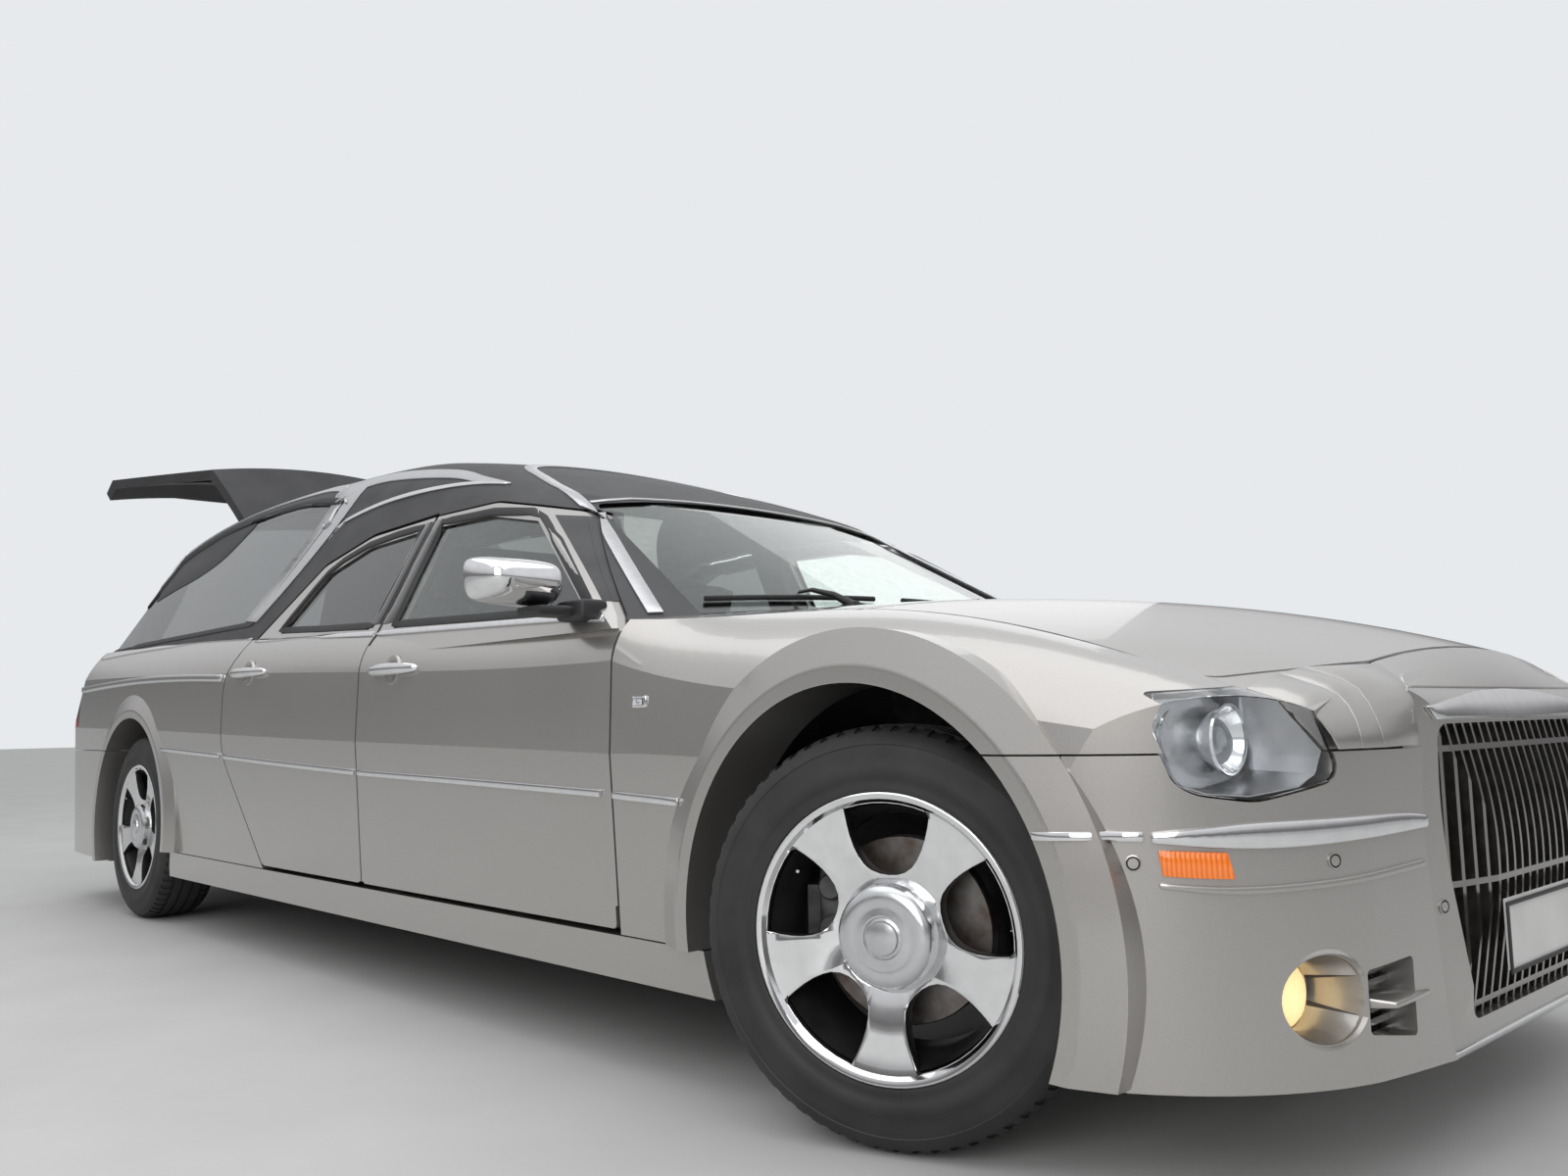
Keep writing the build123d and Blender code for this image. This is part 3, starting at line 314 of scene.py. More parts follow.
# %% Helpers for hand modelling
def take(piece):
    """Make one piece the only selected one."""
    bpy.ops.object.select_all(action="DESELECT")
    piece.select_set(True)
    bpy.context.view_layer.objects.active = piece


def named(name, *finishes):
    """Name the primitive just added and give it its finishes."""
    piece = bpy.context.object
    piece.name = name
    piece.data.name = name
    for finish in finishes:
        piece.data.materials.append(finish)
    return piece


def edit(piece):
    take(piece)
    bpy.ops.object.mode_set(mode="EDIT")


def leave():
    bpy.ops.object.mode_set(mode="OBJECT")


def pick(piece, kind, test):
    """Select the faces, edges or vertices that pass a test on their place and normal."""
    bpy.ops.mesh.select_mode(type=kind)
    bpy.ops.mesh.select_all(action="DESELECT")
    work = bmesh.from_edit_mesh(piece.data)
    for item in {"FACE": work.faces, "EDGE": work.edges, "VERT": work.verts}[kind]:
        if kind == "FACE":
            chosen = test(item.calc_center_median(), item.normal)
        elif kind == "EDGE":
            chosen = test((item.verts[0].co + item.verts[1].co) / 2, item)
        else:
            chosen = test(item.co, item.normal)
        item.select_set(bool(chosen))
    work.select_flush_mode()
    bmesh.update_edit_mesh(piece.data)


def finish_with(piece, kind, **settings):
    """Add one modifier with its settings and apply it."""
    take(piece)
    bpy.ops.object.modifier_add(type=kind)
    modifier = piece.modifiers[-1]
    for key, value in settings.items():
        setattr(modifier, key, value)
    bpy.ops.object.modifier_apply(modifier=modifier.name)


def settle(piece, body, slot_name=None, angle=32):
    """Put the piece's place into its mesh, smooth it and let it ride on its body."""
    take(piece)
    bpy.ops.object.transform_apply(location=True, rotation=True, scale=True)
    bpy.ops.object.shade_smooth_by_angle(angle=math.radians(angle))
    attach(piece, body)
    return piece


def copy_of(piece, name, placing=Matrix.Identity(4)):
    """A copy with its own mesh, moved by a matrix; a mirrored one is turned right side out."""
    twin = piece.copy()
    twin.data = piece.data.copy()
    twin.name = name
    twin.data.name = name
    bpy.context.scene.collection.objects.link(twin)
    twin.parent = None
    twin.matrix_world = Matrix.Identity(4)
    twin.data.transform(placing)
    if placing.determinant() < 0:
        twin.data.flip_normals()
    return twin


def outward(piece):
    """Merge doubles and turn all faces outwards."""
    edit(piece)
    bpy.ops.mesh.select_all(action="SELECT")
    bpy.ops.mesh.remove_doubles(threshold=0.00005)
    bpy.ops.mesh.normals_make_consistent(inside=False)
    leave()


def car(x, y, z):
    """A place measured from the front axle, in the frame's own coordinates."""
    return Vector((x + front_axle_x, y, z))


print("modelling helpers ready")

# %% [markdown]
# Trim lies on the body's skin. A strip of it is a plane whose end edge is extruded again and
# again along the panel, as one would draw a strip with snapping on. Its rows are found by a ray
# onto the panel, then Solidify gives it height and a bevel rounds its edges.


# %% Helpers for strips on the skin
def skin_of(*names):
    """A search tree over some pieces of the frame."""
    corners = []
    faces = []
    for name in names:
        mesh = nodes[name].data
        start = len(corners)
        corners += [vertex.co.copy() for vertex in mesh.vertices]
        faces += [[i + start for i in face.vertices] for face in mesh.polygons]
    return BVHTree.FromPolygons(corners, faces)


def meet(skin, point, aim=None, reach=0.25):
    """Where a ray along aim meets the skin near a point, or the nearest place on it."""
    if aim is not None:
        aim = Vector(aim).normalized()
        place, normal, _, _ = skin.ray_cast(point - aim * reach, aim, reach * 2)
        if place is not None:
            return place, normal
    place, normal, _, _ = skin.find_nearest(point)
    return place, normal


def drawn(points, step, closed=False):
    """A smooth line through points, at about even steps."""
    count = len(points)
    line = []
    for i in range(count if closed else count - 1):
        last = count if closed else 0
        before = points[(i - 1) % last] if closed else points[max(i - 1, 0)]
        start = points[i]
        end = points[(i + 1) % last] if closed else points[i + 1]
        after = points[(i + 2) % last] if closed else points[min(i + 2, count - 1)]
        cuts = max(1, round((end - start).length / step))
        for k in range(cuts):
            t = k / cuts
            line.append(0.5 * (2 * start + (end - before) * t
                               + (2 * before - 5 * start + 4 * end - after) * t ** 2
                               + (3 * start - before - 3 * end + after) * t ** 3))
    if not closed:
        line.append(points[-1].copy())
    return line


def straight(points, step, closed=False):
    """Straight lines through points, at about even steps."""
    line = []
    ends = list(zip(points, points[1:] + points[:1])) if closed else list(zip(points, points[1:]))
    for start, end in ends:
        cuts = max(1, round((end - start).length / step))
        line += [start.lerp(end, k / cuts) for k in range(cuts)]
    if not closed:
        line.append(points[-1].copy())
    return line


def rows_along(line, widths, skin, aim, closed=False):
    """Pairs of points across a strip that follows a line on the skin."""
    spots = [meet(skin, point, aim) for point in line]
    last = len(spots) - 1
    rows = []
    for i, (place, normal) in enumerate(spots):
        before = spots[(i - 1) % (last + 1)][0] if closed else spots[max(i - 1, 0)][0]
        after = spots[(i + 1) % (last + 1)][0] if closed else spots[min(i + 1, last)][0]
        share = i / max(last, 1) * (len(widths) - 1)
        low = min(int(share), len(widths) - 2) if len(widths) > 1 else 0
        high = min(low + 1, len(widths) - 1)
        half = (widths[low] + (widths[high] - widths[low]) * (share - low)) / 2
        across = normal.cross(after - before).normalized() * half
        rows.append((meet(skin, place + across, aim)[0], meet(skin, place - across, aim)[0]))
    return rows


def rows_between(first, second, skin, aim, step, smooth=True):
    """Pairs of points between two edge lines, both laid on the skin."""
    make = drawn if smooth else straight
    fine = make(first, step / 8)
    other = make(second, step / 8)
    count = max(2, round(sum((b - a).length for a, b in zip(fine, fine[1:])) / step))
    rows = []
    for i in range(count + 1):
        a = fine[round(i / count * (len(fine) - 1))]
        b = other[round(i / count * (len(other) - 1))]
        rows.append((meet(skin, a, aim)[0], meet(skin, b, aim)[0]))
    return rows


def corners_of(piece):
    """The mesh in edit mode, with its vertices numbered afresh."""
    work = bmesh.from_edit_mesh(piece.data)
    work.verts.index_update()
    work.verts.ensure_lookup_table()
    return work


def carry(piece, index, goal):
    """Move one vertex of the mesh in edit mode to a place."""
    work = corners_of(piece)
    for vertex in work.verts:
        vertex.select_set(vertex.index == index)
    move = goal - work.verts[index].co
    bmesh.update_edit_mesh(piece.data)
    bpy.ops.transform.translate(value=move)


def lay_strip(name, rows, finish, height, out, closed=False, edge=None, sink=0.001):
    """Extrude a strip along its rows, thicken it outwards and round its edges."""
    bpy.ops.object.select_all(action="DESELECT")
    bpy.ops.mesh.primitive_plane_add(size=0.01, location=(0, 0, 0))
    piece = named(name, finish)
    edit(piece)
    bpy.ops.mesh.select_mode(type="VERT")
    for index, goal in zip((0, 1, 2, 3), (rows[0][0], rows[0][1], rows[1][0], rows[1][1])):
        carry(piece, index, goal)
    ends = [2, 3]
    for first, second in rows[2:]:
        work = corners_of(piece)
        for vertex in work.verts:
            vertex.select_set(vertex.index in ends)
        for link in work.edges:
            link.select_set(all(v.index in ends for v in link.verts))
        bmesh.update_edit_mesh(piece.data)
        bpy.ops.mesh.extrude_edges_move(TRANSFORM_OT_translate={"value": (0, 0, 0)})
        work = corners_of(piece)
        new = [v.index for v in work.verts if v.select]
        grown = {v.index: [e.other_vert(v).index for e in v.link_edges] for v in work.verts
                 if v.index in new}
        left = next(i for i in new if ends[0] in grown[i])
        right_end = next(i for i in new if ends[1] in grown[i])
        carry(piece, left, first)
        carry(piece, right_end, second)
        ends = [left, right_end]
    if closed:
        work = corners_of(piece)
        for vertex in work.verts:
            vertex.select_set(vertex.index in ends + [0, 1])
        work.select_flush(True)
        bmesh.update_edit_mesh(piece.data)
        bpy.ops.mesh.edge_face_add()
    bpy.ops.mesh.select_all(action="SELECT")
    bpy.ops.mesh.normals_make_consistent(inside=False)
    leave()
    facing = sum((face.normal * face.area for face in piece.data.polygons), Vector())
    if closed or facing.dot(Vector(out)) < 0:
        turned = sum(face.area * (1 if face.normal.dot(Vector(out)) > 0 else -1)
                     for face in piece.data.polygons)
        if turned < 0:
            piece.data.flip_normals()
    for vertex in piece.data.vertices:
        vertex.co -= vertex.normal * sink
    finish_with(piece, "SOLIDIFY", thickness=height + sink, offset=1.0)
    edge = edge or height * 0.45
    finish_with(piece, "BEVEL", width=edge, segments=2, limit_method="ANGLE",
                angle_limit=math.radians(50))
    return piece


sides = (("right", -1), ("left", 1))
flank_skin = {side: skin_of(f"front_door_{side}", f"rear_door_{side}", f"quarter_{side}",
                            f"wing_{side}", "roof", "front_bumper") for side, _ in sides}
print("skins of both flanks ready")

# %% [markdown]
# The car wears bright mouldings: a thin strip along the doors at knee height, and a belt line
# under the windows. Each moulding ends at the door gaps, because every door takes its own length
# along when it opens.

# %% Side mouldings
flank_strips = [
    # name, body, width, height, slanted, points (x, z)
    ("low_strip_wing", "body", 0.017, 0.007, False, [(-0.47, 0.570), (-0.690, 0.578)]),
    ("low_strip_front_door", "front_door_{}_body", 0.017, 0.007, False,
     [(-0.735, 0.580), (-1.25, 0.592), (-1.910, 0.605)]),
    ("low_strip_rear_door", "rear_door_{}_body", 0.017, 0.007, False,
     [(-1.935, 0.606), (-2.50, 0.625), (-2.955, 0.643)]),
    ("low_strip_quarter", "body", 0.017, 0.007, False, [(-2.995, 0.645), (-3.60, 0.666)]),
    ("belt_front_door", "front_door_{}_body", 0.016, 0.006, True,
     [(-0.765, 0.944), (-0.95, 0.957), (-1.40, 0.975), (-1.910, 0.994)]),
    ("belt_rear_door", "rear_door_{}_body", 0.016, 0.006, True,
     [(-1.935, 0.995), (-2.40, 1.015), (-2.84, 1.030)]),
    ("belt_quarter", "body", 0.016, 0.006, True,
     [(-2.925, 1.050), (-3.40, 1.066), (-4.00, 1.075), (-4.74, 1.077)]),
    ("rear_strip", "body", 0.026, 0.011, False,
     [(-2.995, 0.910), (-3.40, 0.925), (-3.90, 0.934), (-4.40, 0.932), (-4.86, 0.926)]),
]
for side, sign in sides:
    for name, body, width, height, slanted, points in flank_strips:
        aim = (0, -sign * 0.89, -0.46) if slanted else (0, -sign, 0)
        start_y = sign * (0.88 if slanted else 0.93)
        line = drawn([car(x, start_y, z) for x, z in points], 0.06)
        rows = rows_along(line, [width], flank_skin[side], aim)
        strip = lay_strip(f"{name}_{side}", rows, chrome, height, (0, sign, 0.2))
        settle(strip, body.format(side), "chrome")
print("mouldings laid on both flanks")

# %% [markdown]
# Black rubber seals frame every pane, and the pillar between the doors is covered in black, so
# that the side glass reads as one dark band. The seals are closed strips round the window
# outlines.

# %% Window seals and door pillars
front_window = [(-0.838, 0.972), (-1.225, 1.220), (-1.275, 1.250), (-1.34, 1.270), (-1.560, 1.300),
                (-1.853, 1.312), (-1.842, 1.15), (-1.830, 1.006), (-1.35, 0.990)]
rear_window = [(-1.985, 1.012), (-1.987, 1.16), (-1.990, 1.312), (-2.15, 1.308), (-2.33, 1.294),
               (-2.47, 1.262), (-2.55, 1.228), (-2.59, 1.185), (-2.700, 1.046), (-2.35, 1.029)]
load_window = [(-3.035, 1.092), (-2.915, 1.305), (-2.792, 1.520), (-3.05, 1.560), (-3.300, 1.578),
               (-3.70, 1.585), (-4.080, 1.565), (-4.35, 1.525), (-4.500, 1.490), (-4.67, 1.30),
               (-4.850, 1.102), (-4.20, 1.099), (-3.60, 1.096)]
seals = [
    ("seal_front_window", "front_door_{}_body", "front_door_{}", "front_door_glass_{}",
     front_window),
    ("seal_rear_window", "rear_door_{}_body", "rear_door_{}", "rear_door_glass_{}", rear_window),
    ("seal_load_window", "body", "roof", "side_glass", load_window),
]
for side, sign in sides:
    aim = (0, -sign * 0.89, -0.46)
    for name, body, frame_node, glass_node, outline in seals:
        skin = skin_of(frame_node.format(side), glass_node.format(side))
        corners = [car(x, sign * (0.84 - 0.5 * (z - 1.0)), z) for x, z in outline]
        middle = sum(corners, Vector()) / len(corners)
        corners = [p + (p - middle).normalized() * 0.005 for p in corners]
        rows = rows_along(straight(corners, 0.05, True), [0.026], skin, aim, True)
        seal = lay_strip(f"{name}_{side}", rows, rubber, 0.004, (0, sign, 0.4), True)
        settle(seal, body.format(side))
    for name, body, node, low, high, widths in (
            ("pillar_cover_front", "front_door_{}_body", "front_door_{}",
             (-1.876, 1.008), (-1.887, 1.325), [0.072, 0.052]),
            ("pillar_cover_rear", "rear_door_{}_body", "rear_door_{}",
             (-1.954, 1.010), (-1.957, 1.325), [0.048, 0.050])):
        skin = skin_of(node.format(side))
        line = straight([car(x, sign * (0.84 - 0.5 * (z - 1.0)), z) for x, z in (low, high)], 0.06)
        rows = rows_along(line, widths, skin, aim)
        cover = lay_strip(f"{name}_{side}", rows, black_gloss, 0.003, (0, sign, 0.4))
        settle(cover, body.format(side))
print("seals and pillar covers in place")

# %% [markdown]
# Satin metal trims dress the vinyl roof: a band that climbs beside the windscreen and arches over
# the roof, a forked ornament behind the rear doors, and a border above the load bay's glass. They
# are flat bands with soft edges, so the same strip helper draws them.

# %% Satin roof trim
roof_skin = skin_of("roof")
roof_glass_skin = skin_of("roof", "side_glass")
arch_half = [(-0.722, 0.795, 0.958), (-0.854, 0.745, 1.043), (-1.01, 0.684, 1.137),
             (-1.158, 0.626, 1.225), (-1.297, 0.588, 1.306), (-1.385, 0.574, 1.352),
             (-1.480, 0.560, 1.398), (-1.619, 0.520, 1.450), (-1.759, 0.470, 1.500),
             (-1.870, 0.390, 1.540), (-1.950, 0.240, 1.580), (-1.985, 0.0, 1.600)]
arch_points = [car(x, -y, z) for x, y, z in arch_half]
arch_points += [car(x, y, z) for x, y, z in reversed(arch_half[:-1])]
rows = rows_along(drawn(arch_points, 0.05), [0.038], roof_skin, (-0.38, 0, -0.92))
arch = lay_strip("roof_arch_band", rows, satin, 0.006, (0.3, 0, 1))
settle(arch, "body", "chrome")

header = [(-1.315, -0.560, 1.330), (-1.325, -0.418, 1.351), (-1.337, -0.211, 1.366),
          (-1.338, 0.0, 1.369), (-1.337, 0.211, 1.366), (-1.325, 0.418, 1.351),
          (-1.315, 0.560, 1.330)]
rows = rows_along(drawn([car(*p) for p in header], 0.06), [0.012], roof_skin, None)
settle(lay_strip("windscreen_header_trim", rows, chrome, 0.005, (0.3, 0, 1)), "body", "chrome")

fork_bands = [
    # name, finish, height, first edge and second edge (x, z)
    ("fork_stem", satin, 0.006,
     [(-3.135, 1.100), (-3.055, 1.215), (-2.975, 1.345), (-2.915, 1.455), (-2.900, 1.580)],
     [(-2.990, 1.083), (-2.880, 1.190), (-2.785, 1.300), (-2.715, 1.400), (-2.640, 1.540)]),
    ("fork_blade", satin, 0.006,
     [(-2.860, 1.505), (-2.700, 1.530), (-2.471, 1.530), (-2.002, 1.468), (-1.780, 1.420),
      (-1.610, 1.400)],
     [(-2.900, 1.600), (-2.700, 1.592), (-2.471, 1.578), (-2.002, 1.508), (-1.780, 1.448),
      (-1.605, 1.404)]),
    ("roof_edge_band", satin, 0.006,
     [(-2.865, 1.552), (-3.10, 1.592), (-3.50, 1.610), (-3.90, 1.605), (-4.25, 1.565),
      (-4.48, 1.512)],
     [(-2.900, 1.600), (-3.10, 1.625), (-3.50, 1.642), (-3.90, 1.635), (-4.25, 1.590),
      (-4.50, 1.530)]),
    ("fork_line", chrome, 0.006,
     [(-2.735, 1.352), (-2.660, 1.402), (-2.341, 1.432), (-1.875, 1.418), (-1.620, 1.398)],
     [(-2.720, 1.366), (-2.655, 1.416), (-2.341, 1.446), (-1.875, 1.431), (-1.615, 1.404)]),
    ("rear_glass_edge", chrome, 0.006,
     [(-4.505, 1.505), (-4.68, 1.31), (-4.868, 1.095)],
     [(-4.520, 1.512), (-4.695, 1.315), (-4.885, 1.095)]),
]
for side, sign in sides:
    for name, finish, height, first, second in fork_bands:
        aim = (0, -sign * 0.80, -0.60)
        edges = [[car(x, sign * (0.84 - 0.55 * (z - 1.0)), z) for x, z in edge]
                 for edge in (first, second)]
        rows = rows_between(*edges, roof_glass_skin, aim, 0.05)
        band = lay_strip(f"{name}_{side}", rows, finish, height, (0, sign, 0.6))
        settle(band, "body", "chrome")
print("satin trim laid on the roof")

# %% [markdown]
# Things that turn, such as a rim, a tyre or a lamp dish, are drawn as half a section and spun.
# One vertex is extruded along the section, the line is spun round the axle, and the seam is
# merged.


# %% Helper for turned pieces
def turned(name, section, finish, steps, axis=(0, 1, 0)):
    """Spin a section of (radius, along) points round an axis through the origin."""
    axis = Vector(axis)
    outwards = Vector((0, 0, 1)) if abs(axis.z) < 0.5 else Vector((1, 0, 0))
    points = [outwards * radius + axis * along for radius, along in section]
    bpy.ops.object.select_all(action="DESELECT")
    bpy.ops.mesh.primitive_plane_add(size=0.01, location=(0, 0, 0))
    piece = named(name, finish)
    edit(piece)
    bpy.ops.mesh.select_mode(type="VERT")
    bpy.ops.mesh.merge(type="CENTER")
    bpy.ops.transform.translate(value=points[0])
    for start, end in zip(points, points[1:]):
        bpy.ops.mesh.extrude_region_move(TRANSFORM_OT_translate={"value": end - start})
    bpy.ops.mesh.select_all(action="SELECT")
    bpy.ops.mesh.spin(steps=steps, angle=math.tau, center=(0, 0, 0), axis=axis)
    leave()
    outward(piece)
    return piece


def tube_along(name, points, radius, finish, sides_count=10):
    """A round bar along points: a circle extruded from point to point and closed at its ends."""
    bpy.ops.object.select_all(action="DESELECT")
    start = (points[1] - points[0]).to_track_quat("Z", "Y").to_euler()
    radii = radius if isinstance(radius, list) else [radius] * len(points)
    bpy.ops.mesh.primitive_circle_add(vertices=sides_count, radius=radii[0], fill_type="NGON",
                                      location=points[0], rotation=start)
    bar = named(name, finish)
    bpy.ops.object.transform_apply(location=True, rotation=True, scale=True)
    edit(bar)
    bpy.ops.mesh.select_mode(type="FACE")
    bpy.ops.mesh.select_all(action="SELECT")
    for i in range(1, len(points)):
        bpy.ops.mesh.extrude_region_move(
            TRANSFORM_OT_translate={"value": points[i] - points[i - 1]})
        scale = radii[i] / radii[i - 1]
        bpy.ops.transform.resize(value=(scale, scale, scale), center_override=points[i])
    leave()
    outward(bar)
    return bar


def soft_box(name, place, size, finish, bevel, levels=2, shape=None):
    """A cube at its size and place, with bevelled edges and a subdivision surface."""
    bpy.ops.object.select_all(action="DESELECT")
    bpy.ops.mesh.primitive_cube_add(size=1.0, location=place)
    box = named(name, finish)
    bpy.ops.transform.resize(value=size)
    bpy.ops.object.transform_apply(location=True, rotation=True, scale=True)
    if shape:
        edit(box)
        shape(box)
        leave()
    finish_with(box, "BEVEL", width=bevel, segments=2, limit_method="NONE")
    if levels:
        finish_with(box, "SUBSURF", levels=levels, render_levels=levels)
    return box


print("turning helpers ready")

# %% [markdown]
# The wheels have five broad chrome spokes with round-bottomed openings between them. A plate is
# turned first, and five cutters shaped like the openings are taken out of it with Boolean. The
# walls of the openings keep the cutter's black finish, as the painted inside of such a wheel.

# %% Rim, modelled once with its outside towards -y
rim_dark, tree, shader = new_material("rim_inside", (0.018, 0.018, 0.019), 0.4, 0.3)
vary_colour(tree, shader, noise(tree, 20.0), (0.012, 0.012, 0.012), (0.030, 0.029, 0.028))
add_bump(tree, shader, noise(tree, 200.0), 0.3, 0.0006)
face_section = [(0.0, -0.070), (0.070, -0.072), (0.092, -0.080), (0.120, -0.089), (0.170, -0.094),
                (0.215, -0.098), (0.226, -0.1000), (0.232, -0.1075), (0.240, -0.1100),
                (0.2440, -0.1075), (0.2440, -0.100), (0.236, -0.085), (0.226, -0.078),
                (0.170, -0.066), (0.100, -0.052), (0.0, -0.050)]
rim_face = turned("rim_face", face_section, chrome, 90)
opening_half = [(0.000, 0.1020), (0.016, 0.1035), (0.031, 0.1085), (0.044, 0.1180),
                (0.0535, 0.1310), (0.0620, 0.1470), (0.0690, 0.1660), (0.0740, 0.1850),
                (0.0775, 0.2030), (0.0790, 0.2110)]
opening_top = [(0.2245 * math.sin(a), 0.2245 * math.cos(a))
               for a in (math.radians(d) for d in (19.5, 13.0, 6.5, 0.0))]
half_outline = opening_half + opening_top
whole_outline = half_outline + [(-across, radius) for across, radius in half_outline[-2:0:-1]]


def opening_cutter(name, angle):
    """A prism in the shape of one opening, turned to its place round the axle."""
    bpy.ops.object.select_all(action="DESELECT")
    bpy.ops.mesh.primitive_plane_add(size=0.01, location=(0, 0, 0))
    cutter = named(name, rim_dark)
    points = [Vector((across, -0.20, radius)) for across, radius in whole_outline]
    edit(cutter)
    bpy.ops.mesh.select_mode(type="VERT")
    bpy.ops.mesh.merge(type="CENTER")
    bpy.ops.transform.translate(value=points[0])
    for start, end in zip(points, points[1:]):
        bpy.ops.mesh.extrude_region_move(TRANSFORM_OT_translate={"value": end - start})
    bpy.ops.mesh.select_all(action="SELECT")
    bpy.ops.mesh.edge_face_add()
    bpy.ops.mesh.extrude_region_move(TRANSFORM_OT_translate={"value": (0, 0.25, 0)})
    leave()
    outward(cutter)
    cutter.data.transform(Matrix.Rotation(angle, 4, "Y"))
    return cutter


first_opening = math.radians(2.0)
for i in range(5):
    cutter = opening_cutter(f"opening_{i}", first_opening + i * math.tau / 5)
    finish_with(rim_face, "BOOLEAN", operation="DIFFERENCE", object=cutter, solver="EXACT",
                material_mode="TRANSFER")
    bpy.data.objects.remove(cutter)
finish_with(rim_face, "BEVEL", width=0.0022, segments=2, limit_method="ANGLE",
            angle_limit=math.radians(48), material=0)
barrel = turned("rim_barrel", [(0.2410, -0.1000), (0.2260, -0.090), (0.2190, -0.060),
                               (0.2080, -0.030), (0.2080, 0.060), (0.2260, 0.095),
                               (0.2400, 0.1050), (0.2430, 0.1070), (0.2430, 0.1090),
                               (0.2360, 0.1080), (0.2200, 0.099), (0.2030, 0.063),
                               (0.2030, -0.028), (0.2140, -0.062), (0.2210, -0.0900)],
                rim_dark, 72)
take(rim_face)
barrel.select_set(True)
bpy.ops.object.join()
hub_metal, tree, shader = new_material("hub_metal", (0.62, 0.63, 0.64), 0.22, 1.0, Coat_Weight=0.8)
vary_roughness(tree, shader, noise(tree, 40.0), 0.14, 0.34)
hub_cap = turned("hub_cap", [(0.0, -0.1175), (0.016, -0.1170), (0.0270, -0.1145), (0.0290, -0.1105),
                             (0.0335, -0.1090), (0.0355, -0.1120), (0.0390, -0.1125),
                             (0.0480, -0.1090), (0.0560, -0.1100), (0.0680, -0.1110),
                             (0.0790, -0.1080), (0.0850, -0.1020), (0.0885, -0.0930),
                             (0.0885, -0.0760), (0.0, -0.0740)], hub_metal, 64)
edit(hub_cap)
pick(hub_cap, "EDGE", lambda middle, edge: abs(math.hypot(middle.x, middle.z) - 0.0885) < 0.0006
     and middle.y < -0.09 and int(math.degrees(math.atan2(middle.z, middle.x)) // 11.25) % 2 == 0
     and abs(edge.verts[0].co.y - edge.verts[1].co.y) < 1e-5)
bpy.ops.transform.resize(value=(0.975, 1.0, 0.975), center_override=(0, -0.093, 0))
leave()
valve = tube_along("valve", [Vector((-0.172, -0.080, 0.112)), Vector((-0.164, -0.096, 0.107)),
                             Vector((-0.160, -0.104, 0.1045))], [0.0045, 0.0042, 0.003], chrome, 10)
brake_steel, tree, shader = new_material("brake_steel", (0.20, 0.185, 0.17), 0.38, 0.9)
vary_colour(tree, shader, noise(tree, 30.0), (0.13, 0.10, 0.085), (0.25, 0.24, 0.23))
disc = turned("brake_disc", [(0.0, -0.048), (0.076, -0.048), (0.080, -0.044), (0.082, -0.012),
                             (0.160, -0.012), (0.162, -0.009), (0.162, 0.013), (0.160, 0.016),
                             (0.084, 0.016), (0.0, 0.012)], brake_steel, 64)
take(rim_face)
for part in (hub_cap, valve, disc):
    part.select_set(True)
bpy.ops.object.join()
print("rim has", len(rim_face.data.polygons), "faces")

# %% [markdown]
# The tyre is spun too, with its grooves in the section. Every second face of the shoulder is then
# pushed in, which leaves the row of tread blocks seen from beside the car.

# %% Tyre, modelled once
tyre_half = [(0.2400, -0.0960), (0.2450, -0.1085), (0.2520, -0.1100), (0.2560, -0.1085),
             (0.2680, -0.1110), (0.2700, -0.1122), (0.2880, -0.1125), (0.2900, -0.1112),
             (0.3080, -0.1098), (0.3230, -0.1060), (0.3250, -0.1072), (0.3280, -0.1058),
             (0.3380, -0.1000), (0.3460, -0.0930), (0.3520, -0.0845), (0.3550, -0.0760),
             (0.3570, -0.0600), (0.3500, -0.0590), (0.3500, -0.0520), (0.3573, -0.0510),
             (0.3578, -0.0235), (0.3505, -0.0225), (0.3505, -0.0150), (0.3580, -0.0140)]
tyre_section = tyre_half + [(radius, -along) for radius, along in reversed(tyre_half)]
tyre_section += [(0.2300, 0.080), (0.2300, -0.080)]
tread_count = 128
tyre = turned("tyre", tyre_section + [tyre_section[0]], tyre_rubber, tread_count)


def in_gap(middle, normal):
    """Faces of the shoulder in every second place round the tyre."""
    turn = int(math.floor((math.atan2(middle.z, middle.x) / math.tau + 1) * tread_count + 0.001))
    return turn % 2 == 0 and math.hypot(middle.x, middle.z) > 0.342 and abs(middle.y) > 0.0605


edit(tyre)
pick(tyre, "FACE", in_gap)
bpy.ops.mesh.extrude_region_move(TRANSFORM_OT_translate={"value": (0, 0, 0)})
bpy.ops.transform.resize(value=(0.9875, 0.985, 0.9875), center_override=(0, 0, 0))
leave()
print("tyre has", len(tyre.data.polygons), "faces")

# %% [markdown]
# A brake caliper grips each disc and stays with the knuckle, so it doesn't turn with the wheel.
# It is a block bent round the disc's edge, with two rounded cylinder bulges.

# %% Brake caliper
caliper = soft_box("caliper", (-0.128, -0.004, 0.036), (0.055, 0.062, 0.150), iron, 0.010, 1)
for lift in (-0.036, 0.036):
    bulge = turned(f"bulge_{lift}", [(0.0, -0.046), (0.020, -0.046), (0.024, -0.042), (0.024, 0.0),
                                     (0.0, 0.0)], iron, 20)
    bulge.data.transform(Matrix.Translation((-0.126, 0.0, 0.036 + lift)))
    take(caliper)
    bulge.select_set(True)
    bpy.ops.object.join()

# %% [markdown]
# The finished wheel is copied to its four corners, each copy with a mesh of its own, and the
# spares that were modelled first are taken away.

